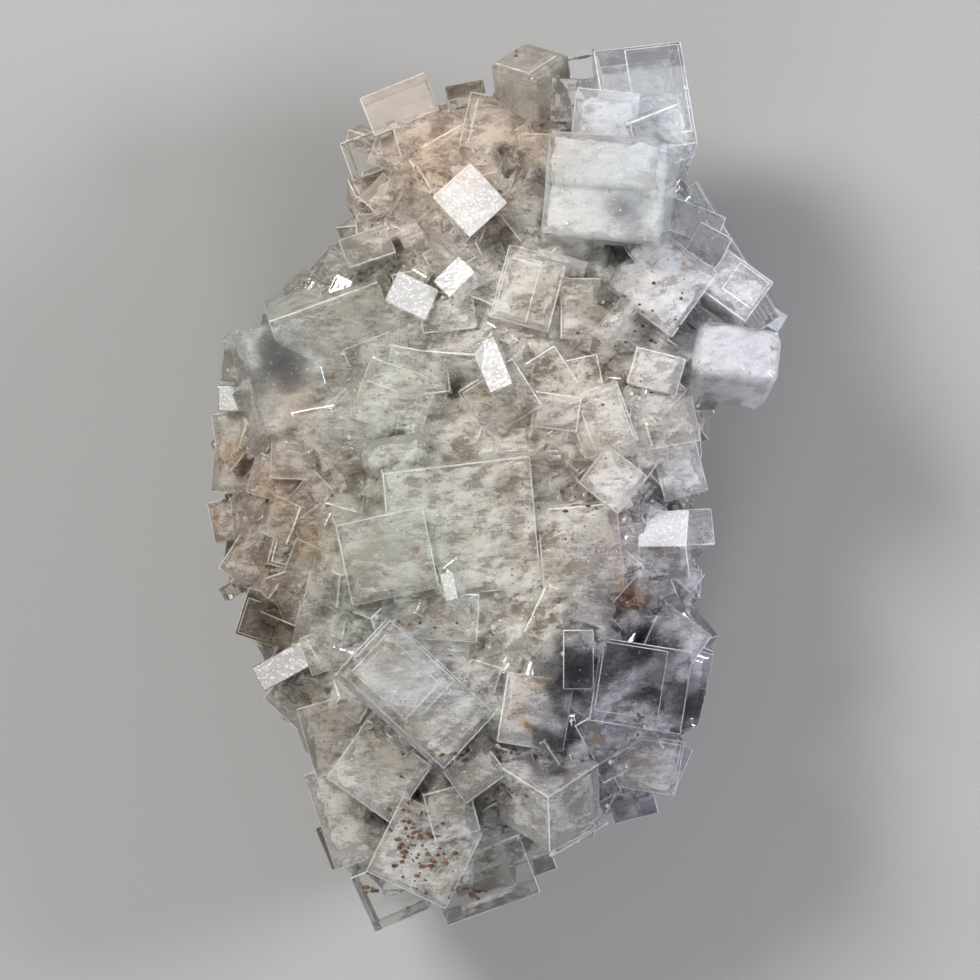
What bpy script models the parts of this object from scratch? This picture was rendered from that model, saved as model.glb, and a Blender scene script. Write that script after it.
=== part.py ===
"""Phantom fluorite on matrix: a crust of grown-together fluorite cubes on a slab of rock.

The specimen lies on the flat back of its rock, with the crystals facing +Z. +Y is its long
way, from the narrow foot to the two lobes at its head. The origin is on the surface it lies
on, under the middle of its outline.
"""

import math
import random

import bmesh
import bpy
from mathutils import Matrix, Vector

OBJECT_NAME = "phantom_fluorite_on_matrix"
MM = 0.001

# The specimen's height above the surface sets the height of every layer.
SPECIMEN_HEIGHT = 44.0 * MM
CRUST_TOP = SPECIMEN_HEIGHT - 6.0 * MM
MATRIX_TOP = SPECIMEN_HEIGHT - 11.0 * MM
MATRIX_GAP = 0.4 * MM

# The rock's outline: its reach from the middle, every 15 degrees anticlockwise from +X.
MATRIX_MIDDLE = Vector((-2.0 * MM, -1.0 * MM, 0.0))
MATRIX_REACH_MM = [
    20, 22, 29, 32, 38, 44, 42, 39, 28, 27, 28, 27,
    26, 27, 27, 30, 34, 45, 43, 38, 36, 32, 25, 21,
]
CRUST_OVERHANG = 3.8 * MM

# Each layer: how much of the full reach, and how much of the top height.
MATRIX_LAYERS = [
    (0.84, 0.0), (0.97, 0.12), (1.0, 0.30), (0.96, 0.50), (0.84, 0.72), (0.58, 0.90), (0.26, 0.98),
]
CRUST_LAYERS = [
    (0.92, 0.19), (1.0, 0.28), (1.0, 0.46), (0.97, 0.63),
    (0.90, 0.79), (0.76, 0.92), (0.52, 0.98), (0.25, 1.0),
]
CRUST_SHOULDER = (1.0, 0.46)
ROCK_ROUGHNESS = 0.8 * MM
ROCK_SEED = 5
CRUST_SEED = 7

# The large crystals, in millimetres and degrees. Each row gives the middle of the crystal's
# outer face (x, y, z), the face's width and height, how deep the crystal goes, the turn of
# the face, how far the face leans from +Z, and the direction that it leans towards.
CRYSTALS = [
    # The tall right-hand head, with the crown crystal that stands out furthest
    ("crown", 13.4, 36.6, 44.0, 15.0, 12.6, 16.0, -5, 8, 150),
    ("crown_step", 13.0, 40.1, 44.6, 13.6, 6.6, 4.0, -5, 8, 150),
    ("tower", 18.6, 48.4, 35.0, 11.0, 13.6, 14.0, 8, 18, 75),
    ("tower_flank", 10.9, 52.6, 31.0, 3.6, 3.6, 10.0, 10, 5, 90),
    ("gable", 4.2, 53.2, 31.0, 7.1, 7.1, 8.0, -37, 60, 97),
    ("splint", 8.4, 48.0, 36.0, 3.2, 5.4, 8.0, -4, 10, 200),
    ("saddle", 13.6, 46.0, 37.0, 8.0, 6.5, 10.0, -6, 12, 90),
    ("tower_toe", 20.6, 43.0, 37.0, 7.0, 7.0, 10.0, 20, 22, -20),
    # The set-back left-hand head
    ("lobe_roof", -12.1, 47.9, 27.0, 8.8, 5.2, 9.0, 22, 8, 110),
    ("lobe_wing", -16.6, 41.5, 25.0, 4.8, 5.0, 8.0, 20, 10, 200),
    ("lobe_toe", -14.9, 36.0, 23.0, 4.4, 3.2, 7.0, -8, 5, 180),
    ("lobe_ridge", -3.7, 49.0, 28.0, 4.8, 3.2, 8.0, 12, 15, 90),
    ("lobe_amber", -8.5, 38.0, 29.0, 4.2, 4.0, 8.0, 35, 15, 90),
    ("lobe_a", -8.2, 44.5, 27.0, 9.0, 6.0, 10.0, 15, 6, 60),
    ("lobe_b", 0.5, 45.1, 29.0, 9.0, 7.0, 10.0, -12, 8, 90),
    ("lobe_c", -12.6, 42.0, 26.0, 6.0, 5.0, 9.0, -20, 10, 180),
    ("lobe_d", -5.1, 42.0, 28.0, 7.0, 5.0, 9.0, 30, 12, 270),
    # Between the heads and the middle
    ("sparkle", -3.2, 35.4, 41.0, 6.6, 6.8, 10.0, 43, 14, 50),
    ("sparkle_step", -6.4, 31.5, 38.5, 2.2, 6.4, 8.0, 43, 14, 50),
    ("quill", 1.5, 39.2, 39.0, 2.4, 5.6, 8.0, -24, 20, 150),
    ("quill_foot", 3.0, 34.1, 38.0, 4.6, 6.4, 9.0, 38, 10, -40),
    ("chip_west", -10.6, 31.2, 37.5, 3.0, 2.6, 6.0, 30, 8, 100),
    ("chip_mid", -5.2, 25.9, 40.5, 4.6, 3.4, 6.0, 45, 28, 135),
    ("plate_mid", -10.4, 23.6, 40.0, 5.6, 4.2, 6.0, -25, 12, 60),
    ("beacon", -4.8, 13.9, 39.0, 7.4, 6.6, 4.8, 7, 50, 235),
    # The left shoulder
    ("left_window", -25.8, 13.9, 37.0, 9.5, 13.5, 12.0, 15, 12, 10),
    ("left_roof", -19.5, 17.6, 36.5, 14.5, 11.5, 14.0, 20, 13, -70),
    ("tan_tip", -24.5, 25.0, 25.0, 4.0, 3.0, 7.0, 42, 10, 130),
    ("brow_a", -20.6, 27.6, 31.0, 3.6, 4.2, 8.0, -38, 8, 140),
    ("brow_b", -16.0, 29.8, 37.0, 6.2, 4.0, 8.0, 20, 20, 90),
    ("brow_c", -13.8, 33.0, 32.0, 4.0, 2.6, 7.0, 25, 10, 110),
    ("white_west", -33.1, 11.0, 27.0, 3.6, 3.3, 8.0, 0, 12, 200),
    ("west_rim", -32.9, 16.0, 30.0, 2.6, 6.0, 9.0, -8, 20, 170),
    # The left side, small blocks and brown-stained ones
    ("west_a", -33.0, 7.0, 25.0, 5.4, 4.8, 9.0, 8, 20, 180),
    ("west_b", -32.8, 1.8, 25.0, 6.0, 5.6, 9.0, -6, 15, 180),
    ("west_c", -26.4, 2.6, 32.0, 7.5, 6.4, 9.0, -12, 8, 200),
    ("west_d", -22.2, 1.0, 35.0, 3.4, 4.6, 7.0, -6, 6, 270),
    ("west_e", -33.8, -4.2, 22.0, 4.6, 5.2, 8.0, 12, 15, 180),
    ("west_f", -30.1, -3.9, 28.0, 6.2, 4.2, 8.0, 5, 10, 200),
    ("west_cube", -23.9, -6.8, 34.0, 7.6, 8.0, 10.0, -15, 12, 10),
    ("west_low", -30.8, -9.5, 28.5, 6.0, 6.0, 9.0, -34, 14, 200),
    ("west_bead", -33.6, -13.2, 20.0, 2.2, 1.8, 6.0, 30, 5, 180),
    ("brown_cube", -28.2, -16.8, 30.0, 7.8, 6.2, 9.0, -18, 10, 190),
    ("white_slab", -26.2, -22.2, 33.5, 8.6, 3.4, 7.0, 29, 20, 205),
    ("dark_gem", -21.1, -15.4, 36.0, 1.8, 1.8, 5.0, -10, 5, 90),
    ("slab_heel", -21.4, -20.5, 35.0, 5.0, 5.0, 8.0, 20, 6, 200),
    # The middle, with the largest clear faces
    ("heart_west", -13.4, -8.7, 43.2, 11.0, 10.4, 13.0, 12, 12, -60),
    ("heart_main", -4.2, -5.4, 42.0, 18.4, 16.6, 15.0, 6, 16, -60),
    ("heart_blade", -5.8, -12.4, 42.4, 1.8, 3.6, 6.0, 14, 20, 180),
    ("heart_low", -8.2, -16.1, 40.0, 12.0, 6.0, 10.0, -3, 8, 270),
    ("south_plate", -9.8, -25.5, 40.5, 17.9, 9.4, 12.0, -43, 7, 47),
    ("south_frost", -12.4, -23.6, 41.6, 9.0, 6.4, 4.0, -43, 7, 47),
    ("mid_c", 0.5, 10.8, 40.0, 8.0, 7.0, 9.0, 32, 10, 250),
    ("mid_d", -12.6, 10.8, 39.5, 9.0, 8.0, 10.0, -20, 8, 90),
    ("mid_e", -19.5, 7.0, 38.0, 8.0, 7.0, 10.0, 38, 10, 220),
    # The right of the middle
    ("brow_east", 4.0, 24.5, 40.0, 7.5, 9.4, 11.0, -15, 8, 120),
    ("east_a", 10.5, 22.0, 39.0, 5.0, 7.5, 9.0, 0, 8, 0),
    ("blade_east", 14.5, 20.5, 41.0, 6.0, 2.2, 7.0, 50, 12, 140),
    ("east_b", 16.4, 25.4, 39.5, 3.2, 4.6, 7.0, -35, 15, -30),
    ("east_c", 21.5, 24.8, 38.5, 8.0, 10.0, 11.0, -36, 10, 20),
    ("east_d", 19.9, 14.2, 38.5, 6.4, 4.8, 9.0, -15, 14, -60),
    ("mid_a", 7.4, 9.2, 40.0, 5.8, 4.4, 8.0, -8, 8, 180),
    ("mid_b", 13.0, 8.2, 39.5, 7.0, 8.0, 9.0, 20, 6, 45),
    ("east_e", 14.5, 0.8, 39.5, 6.4, 6.0, 9.0, -38, 10, 0),
    ("east_f", 10.5, -8.0, 39.5, 10.0, 11.0, 12.0, 5, 6, -20),
    ("east_g", 12.4, -15.9, 40.0, 4.4, 3.2, 7.0, -22, 25, -60),
    # The right shoulder: a long wedge seen on edge, and a round-shouldered block below it
    ("wedge", 27.3, 27.7, 31.0, 20.0, 7.0, 12.0, -58, 5, 212),
    ("shoulder", 30.2, 17.0, 37.0, 10.8, 7.2, 11.0, -8, 22, 65),
    ("hinge_a", 26.4, 29.9, 36.0, 4.6, 4.4, 8.0, -28, 10, 20),
    ("hinge_b", 29.9, 24.9, 36.5, 7.0, 6.2, 9.0, -36, 12, 60),
    ("hinge_c", 24.2, 33.0, 35.0, 8.0, 4.2, 9.0, -22, 10, 60),
    ("tip_east", 34.8, 20.8, 31.0, 2.6, 2.6, 7.0, -30, 5, 0),
    # The right side
    ("rim_a", 21.6, 7.8, 36.0, 7.0, 5.6, 9.0, 10, 12, 20),
    ("rim_b", 23.0, 1.8, 34.0, 5.8, 6.4, 9.0, 15, 15, 0),
    ("east_cube", 20.8, -5.2, 36.5, 6.0, 6.2, 6.2, -2, 45, 98),
    ("east_end", 24.9, -5.1, 33.5, 4.6, 4.6, 8.0, 4, 20, 40),
    ("east_step", 22.8, -12.1, 30.0, 5.8, 3.7, 8.0, -3, 6, 20),
    ("rust_cube", 17.6, -13.4, 36.0, 5.2, 3.4, 8.0, -3, 8, 270),
    ("rust_side", 17.0, -8.0, 37.0, 3.4, 7.0, 8.0, 6, 10, 0),
    # The lower right
    ("se_window", 18.0, -24.8, 38.5, 11.6, 10.4, 12.0, -9, 6, 0),
    ("se_flank", 23.8, -25.0, 33.0, 5.6, 9.6, 11.0, -14, 26, 0),
    ("se_brow", 22.6, -18.2, 34.0, 7.6, 4.6, 10.0, -36, 16, 50),
    ("prism_a", 10.2, -21.5, 40.0, 3.8, 7.4, 9.0, 0, 4, 270),
    ("prism_b", 7.2, -21.2, 39.5, 2.8, 7.0, 9.0, -2, 4, 270),
    ("se_low", 19.0, -34.6, 34.5, 8.0, 7.0, 10.0, -10, 12, -60),
    ("se_rim", 21.6, -34.9, 29.5, 4.4, 6.0, 8.0, -24, 18, -20),
    ("se_toe", 17.1, -39.8, 28.5, 5.8, 4.2, 8.0, 15, 20, -80),
    ("arrow", 6.5, -34.5, 39.0, 8.9, 8.9, 9.0, 45, 52, 92),
    ("se_mid", 14.2, -30.5, 38.0, 7.0, 6.0, 9.0, 30, 15, -45),
    # The foot
    ("foot_west", -13.2, -50.9, 31.0, 7.6, 7.6, 10.0, 24, 10, -100),
    ("foot_east", -1.6, -49.2, 32.0, 12.4, 8.0, 11.0, 20, 12, -80),
    ("foot_mid", -8.9, -45.5, 37.0, 11.0, 10.6, 12.0, -26, 8, -90),
    ("foot_gem", -5.5, -40.5, 38.5, 5.8, 6.2, 9.0, 15, 6, -60),
    ("west_flank", -19.2, -41.1, 31.0, 6.4, 12.6, 10.0, 19, 16, 195),
    ("flank_bead", -20.1, -45.1, 24.0, 3.6, 5.6, 8.0, 22, 18, 200),
    ("flank_mid", -20.1, -31.1, 34.0, 7.6, 9.0, 10.0, 16, 12, 200),
    ("flank_high", -25.6, -27.0, 28.0, 6.0, 4.6, 9.0, -42, 18, 215),
    ("keel_a", 9.0, -40.8, 34.5, 7.6, 7.4, 10.0, 30, 15, -70),
    ("keel_b", 3.4, -46.6, 30.0, 7.2, 5.6, 9.0, 20, 18, -75),
    ("keel_c", 8.2, -44.6, 30.0, 4.4, 2.0, 7.0, 28, 10, -60),
    ("low_mid", 4.9, -28.0, 39.5, 8.4, 8.8, 10.0, -9, 6, 0),
    ("low_a", -2.6, -35.5, 39.0, 6.4, 5.0, 9.0, 36, 8, 120),
    ("low_b", -14.5, -35.5, 37.0, 10.0, 9.0, 11.0, -35, 10, 200),
    ("low_c", 12.4, -38.0, 34.0, 5.0, 8.0, 9.0, -25, 12, -45),
]

# The small crystals that fill the gaps on the face and cover the sides, with fixed seeds.
FACE_CRYSTAL_COUNT = 140
FACE_CRYSTAL_SIZE = (4.0 * MM, 6.8 * MM)
FACE_CRYSTAL_RISE = 1.2 * MM
FACE_RISE_SHARE = (0.5, 1.5)
FACE_CRYSTAL_SQUASH = (0.7, 1.2)
FACE_CRYSTAL_DEPTH = 1.6
FACE_REACH = 0.97
FACE_LEAN_SHARE = 0.7
FACE_LEAN_SPREAD = 0.25
FACE_TURN_SPREAD = 0.5
FACE_SEED = 11
SIDE_CRYSTAL_LEVELS = (0.29, 0.42, 0.55)
SIDE_CRYSTALS_A_LEVEL = 28
SIDE_CRYSTAL_SIZE = (5.2 * MM, 8.4 * MM)
SIDE_CRYSTAL_RISE = 0.9 * MM
SIDE_RISE_SHARE = (0.2, 1.0)
SIDE_CRYSTAL_SQUASH = (0.7, 1.1)
SIDE_STEP_SPREAD = 0.3
SIDE_TURN_SPREAD = 0.35
SIDE_CRYSTAL_LEAN = (66.0, 94.0)
SIDE_LEAN_CHANGE = 14.0
SIDE_SEED = 23
GOLDEN_ANGLE = math.pi * (3.0 - math.sqrt(5.0))
QUARTER_TURN = math.pi / 2

ROCK_COLOUR = (0.55, 0.47, 0.36)
ROCK_FINISH = 0.9
FLUORITE_COLOUR = (0.86, 0.88, 0.84)
FLUORITE_FINISH = 0.12
FLUORITE_CLARITY = 0.85
FLUORITE_IOR = 1.434


def clear_scene():
    for item in list(bpy.data.objects):
        bpy.data.objects.remove(item, do_unlink=True)


def new_collection(name):
    collection = bpy.data.collections.new(name)
    bpy.context.scene.collection.children.link(collection)
    return collection


def new_object(name, bm, collection):
    mesh = bpy.data.meshes.new(name)
    bm.to_mesh(mesh)
    bm.free()
    item = bpy.data.objects.new(name, mesh)
    collection.objects.link(item)
    return item


def new_material(name, color, roughness, transmission=0.0):
    material = bpy.data.materials.new(name)
    material.use_nodes = True
    shader = material.node_tree.nodes["Principled BSDF"]
    shader.inputs["Base Color"].default_value = (*color, 1.0)
    shader.inputs["Roughness"].default_value = roughness
    shader.inputs["Metallic"].default_value = 0.0
    shader.inputs["Transmission Weight"].default_value = transmission
    shader.inputs["IOR"].default_value = FLUORITE_IOR
    return material


def reach_at(angle):
    """How far the rock reaches from its middle in one direction, in metres."""
    steps = len(MATRIX_REACH_MM)
    place = (angle / math.tau * steps) % steps
    first = int(place)
    share = place - first
    low = MATRIX_REACH_MM[first]
    high = MATRIX_REACH_MM[(first + 1) % steps]
    return (low + (high - low) * share) * MM


def layered_body(layers, top, overhang, grow, seed):
    """A closed lump: rings of the rock's outline, one above another, with flat ends."""
    dice = random.Random(seed)
    steps = len(MATRIX_REACH_MM)
    widest = max(layers)[1]
    bm = bmesh.new()
    rings = []
    for layer, (share, height) in enumerate(layers):
        ring = []
        away = grow * ((height > widest) - (height < widest))
        for step in range(steps):
            angle = math.tau * step / steps
            inner = layer > 0
            rough = dice.uniform(-ROCK_ROUGHNESS, ROCK_ROUGHNESS) if inner else 0.0
            lift = dice.uniform(-ROCK_ROUGHNESS, ROCK_ROUGHNESS) if inner else 0.0
            reach = (reach_at(angle) + overhang) * share + rough + grow
            level = height * top + lift + away
            place = Vector((reach * math.cos(angle), reach * math.sin(angle), level))
            ring.append(bm.verts.new(MATRIX_MIDDLE + place))
        rings.append(ring)
    for lower, upper in zip(rings, rings[1:]):
        for step in range(steps):
            after = (step + 1) % steps
            bm.faces.new((lower[step], lower[after], upper[after], upper[step]))
    bm.faces.new(list(reversed(rings[0])))
    tip = bm.verts.new(MATRIX_MIDDLE + Vector((0.0, 0.0, top + grow)))
    for step in range(steps):
        bm.faces.new((rings[-1][step], rings[-1][(step + 1) % steps], tip))
    bmesh.ops.triangulate(bm, faces=[face for face in bm.faces if len(face.verts) == 4])
    return bm


def face_frame(spin, lean, toward):
    """Turns +Z to the face's outward direction, after turning the face about itself."""
    axis = Vector((-math.sin(toward), math.cos(toward), 0.0))
    return Matrix.Rotation(lean, 4, axis) @ Matrix.Rotation(spin, 4, "Z")


def add_crystal(bm, face_middle, size, turn):
    """One block whose outer face has its middle at face_middle."""
    width, height, depth = size
    scale = Matrix.Diagonal((width, height, depth, 1.0))
    sink = Matrix.Translation((0.0, 0.0, -0.5 * depth))
    bmesh.ops.create_cube(bm, size=1.0, matrix=Matrix.Translation(face_middle) @ turn @ sink @ scale)


def add_large_crystals(bm):
    for row in CRYSTALS:
        x, y, z, width, height, depth = (value * MM for value in row[1:7])
        spin, lean, toward = (math.radians(value) for value in row[7:10])
        add_crystal(bm, Vector((x, y, z)), (width, height, depth), face_frame(spin, lean, toward))


def dome_point(angle, share):
    """A point on the crust's dome at a share of its reach, and the direction facing out."""
    reach = reach_at(angle) + CRUST_OVERHANG
    upper = [layer for layer in CRUST_LAYERS if layer[1] > CRUST_SHOULDER[1]]
    heights = [CRUST_SHOULDER] + upper + [(0.0, 1.0)]
    for outer, inner in zip(heights, heights[1:]):
        if inner[0] <= share <= outer[0]:
            part = (outer[0] - share) / (outer[0] - inner[0])
            height = (outer[1] + (inner[1] - outer[1]) * part) * CRUST_TOP
            slope = math.atan2((inner[1] - outer[1]) * CRUST_TOP, (outer[0] - inner[0]) * reach)
            break
    flat = Vector((reach * share * math.cos(angle), reach * share * math.sin(angle), height))
    return MATRIX_MIDDLE + flat, slope


def add_face_crystals(bm):
    """Small blocks spread evenly over the dome, which show between the large ones."""
    dice = random.Random(FACE_SEED)
    for count in range(FACE_CRYSTAL_COUNT):
        share = math.sqrt((count + 0.5) / FACE_CRYSTAL_COUNT) * FACE_REACH
        angle = (count * GOLDEN_ANGLE) % math.tau
        place, slope = dome_point(angle, share)
        size = dice.uniform(*FACE_CRYSTAL_SIZE)
        lean = FACE_LEAN_SHARE * slope + dice.uniform(-FACE_LEAN_SPREAD, FACE_LEAN_SPREAD)
        spin = dice.uniform(0.0, QUARTER_TURN)
        toward = angle + dice.uniform(-FACE_TURN_SPREAD, FACE_TURN_SPREAD)
        turn = face_frame(spin, lean, toward)
        rise = turn @ Vector((0.0, 0.0, FACE_CRYSTAL_RISE * dice.uniform(*FACE_RISE_SHARE)))
        height = size * dice.uniform(*FACE_CRYSTAL_SQUASH)
        add_crystal(bm, place + rise, (size, height, size * FACE_CRYSTAL_DEPTH), turn)


def add_side_crystals(bm):
    """Rows of blocks round the sides, each looking outwards and a little down."""
    dice = random.Random(SIDE_SEED)
    for level, height in enumerate(SIDE_CRYSTAL_LEVELS):
        for count in range(SIDE_CRYSTALS_A_LEVEL):
            shift = 0.5 * (level % 2) + dice.uniform(-SIDE_STEP_SPREAD, SIDE_STEP_SPREAD)
            angle = math.tau * (count + shift) / SIDE_CRYSTALS_A_LEVEL
            reach = reach_at(angle) + CRUST_OVERHANG
            size = dice.uniform(*SIDE_CRYSTAL_SIZE)
            lean = math.radians(dice.uniform(*SIDE_CRYSTAL_LEAN) - SIDE_LEAN_CHANGE * level)
            spin = dice.uniform(0.0, QUARTER_TURN)
            toward = angle + dice.uniform(-SIDE_TURN_SPREAD, SIDE_TURN_SPREAD)
            turn = face_frame(spin, lean, toward)
            rise = turn @ Vector((0.0, 0.0, SIDE_CRYSTAL_RISE * dice.uniform(*SIDE_RISE_SHARE)))
            middle = Vector((reach * math.cos(angle), reach * math.sin(angle), height * CRUST_TOP))
            block = (size, size * dice.uniform(*SIDE_CRYSTAL_SQUASH), size)
            add_crystal(bm, MATRIX_MIDDLE + middle + rise, block, turn)


def add_boolean(item, other, operation, use_self=False):
    modifier = item.modifiers.new(operation.lower(), "BOOLEAN")
    modifier.operation = operation
    modifier.solver = "EXACT"
    modifier.use_self = use_self
    modifier.object = other


def keep_outer_skin(item):
    """Bakes the modifiers, and fills the tiny hollows that the blocks close in between them."""
    graph = bpy.context.evaluated_depsgraph_get()
    baked = bpy.data.meshes.new_from_object(item.evaluated_get(graph))
    item.modifiers.clear()
    item.data = baked
    bm = bmesh.new()
    bm.from_mesh(baked)
    waiting = set(bm.faces)
    skins = []
    while waiting:
        front = [waiting.pop()]
        skin = []
        while front:
            face = front.pop()
            skin.append(face)
            for edge in face.edges:
                for other in edge.link_faces:
                    if other in waiting:
                        waiting.remove(other)
                        front.append(other)
        skins.append(skin)
    skins.sort(key=len)
    for skin in skins[:-1]:
        bmesh.ops.delete(bm, geom=skin, context="FACES")
    bm.to_mesh(baked)
    bm.free()


def make_cutter(name, bm, collection):
    item = new_object(name, bm, collection)
    item.hide_render = True
    item.display_type = "WIRE"
    return item


def make_matrix(collection):
    body = layered_body(MATRIX_LAYERS, MATRIX_TOP, 0.0, 0.0, ROCK_SEED)
    rock = new_object("matrix", body, collection)
    rock.data.materials.append(new_material("matrix_rock", ROCK_COLOUR, ROCK_FINISH))
    return rock


def make_crystals(collection, cutters):
    """All the fluorite as one body, hollowed below where the rock fills it."""
    crust = layered_body(CRUST_LAYERS, CRUST_TOP, CRUST_OVERHANG, 0.0, CRUST_SEED)
    crystals = new_object("fluorite_crystals", crust, collection)
    blocks = bmesh.new()
    add_large_crystals(blocks)
    add_face_crystals(blocks)
    add_side_crystals(blocks)
    block_cutter = make_cutter("crystal_blocks", blocks, cutters)
    rock = layered_body(MATRIX_LAYERS, MATRIX_TOP, 0.0, MATRIX_GAP, ROCK_SEED)
    rock_cutter = make_cutter("rock_bed", rock, cutters)
    add_boolean(crystals, block_cutter, "UNION", use_self=True)
    add_boolean(crystals, rock_cutter, "DIFFERENCE")
    keep_outer_skin(crystals)
    crystals.data.materials.clear()
    fluorite = new_material("fluorite_clear", FLUORITE_COLOUR, FLUORITE_FINISH, FLUORITE_CLARITY)
    crystals.data.materials.append(fluorite)
    return crystals


def main():
    clear_scene()
    collection = new_collection(OBJECT_NAME)
    cutters = new_collection("cutters")
    make_matrix(collection)
    make_crystals(collection, cutters)


main()
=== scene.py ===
# Phantom fluorite on matrix, dressed around its fixed frame. The specimen lies on the flat
# back of its rock with the crystals facing +Z, and +Y runs from its foot to its two heads.
import math
import random
import bmesh
import bpy
from mathutils import Matrix, Vector, noise
from mathutils.bvhtree import BVHTree


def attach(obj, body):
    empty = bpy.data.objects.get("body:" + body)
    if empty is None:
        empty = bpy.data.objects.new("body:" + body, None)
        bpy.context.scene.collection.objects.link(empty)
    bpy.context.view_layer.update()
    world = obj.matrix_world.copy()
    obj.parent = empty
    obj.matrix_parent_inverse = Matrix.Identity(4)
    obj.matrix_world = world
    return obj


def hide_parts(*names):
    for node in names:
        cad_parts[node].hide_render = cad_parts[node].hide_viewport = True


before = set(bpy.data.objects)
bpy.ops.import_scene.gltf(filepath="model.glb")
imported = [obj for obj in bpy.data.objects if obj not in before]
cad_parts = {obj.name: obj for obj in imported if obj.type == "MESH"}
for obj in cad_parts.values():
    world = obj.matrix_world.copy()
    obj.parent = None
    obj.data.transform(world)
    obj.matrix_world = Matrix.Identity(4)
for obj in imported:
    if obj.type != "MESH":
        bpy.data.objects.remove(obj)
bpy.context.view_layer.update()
mm = 0.001
up = Vector((0.0, 0.0, 1.0))

# reach of the rock from its middle, in millimetres, every 15 degrees anticlockwise from +X
rockForm = {
    "middle": Vector((-2.0 * mm, -1.0 * mm, 0.0)),
    "reachMm": [
        20, 22, 29, 32, 38, 44, 42, 39, 28, 27, 28, 27,
        26, 27, 27, 30, 34, 45, 43, 38, 36, 32, 25, 21,
    ],
    "crustOverhang": 3.8 * mm,
}

# share of the reach and of the crust's height, ring by ring from the side to the top
crustForm = {
    "top": 38.0 * mm,
    "rings": [
        (0.92, 0.19), (1.0, 0.28), (1.0, 0.46), (0.97, 0.63), (0.90, 0.79), (0.76, 0.92), (0.52, 0.98), (0.25, 1.0),
    ],
    "roughness": 0.8 * mm,
    "seed": 7,
}

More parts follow.
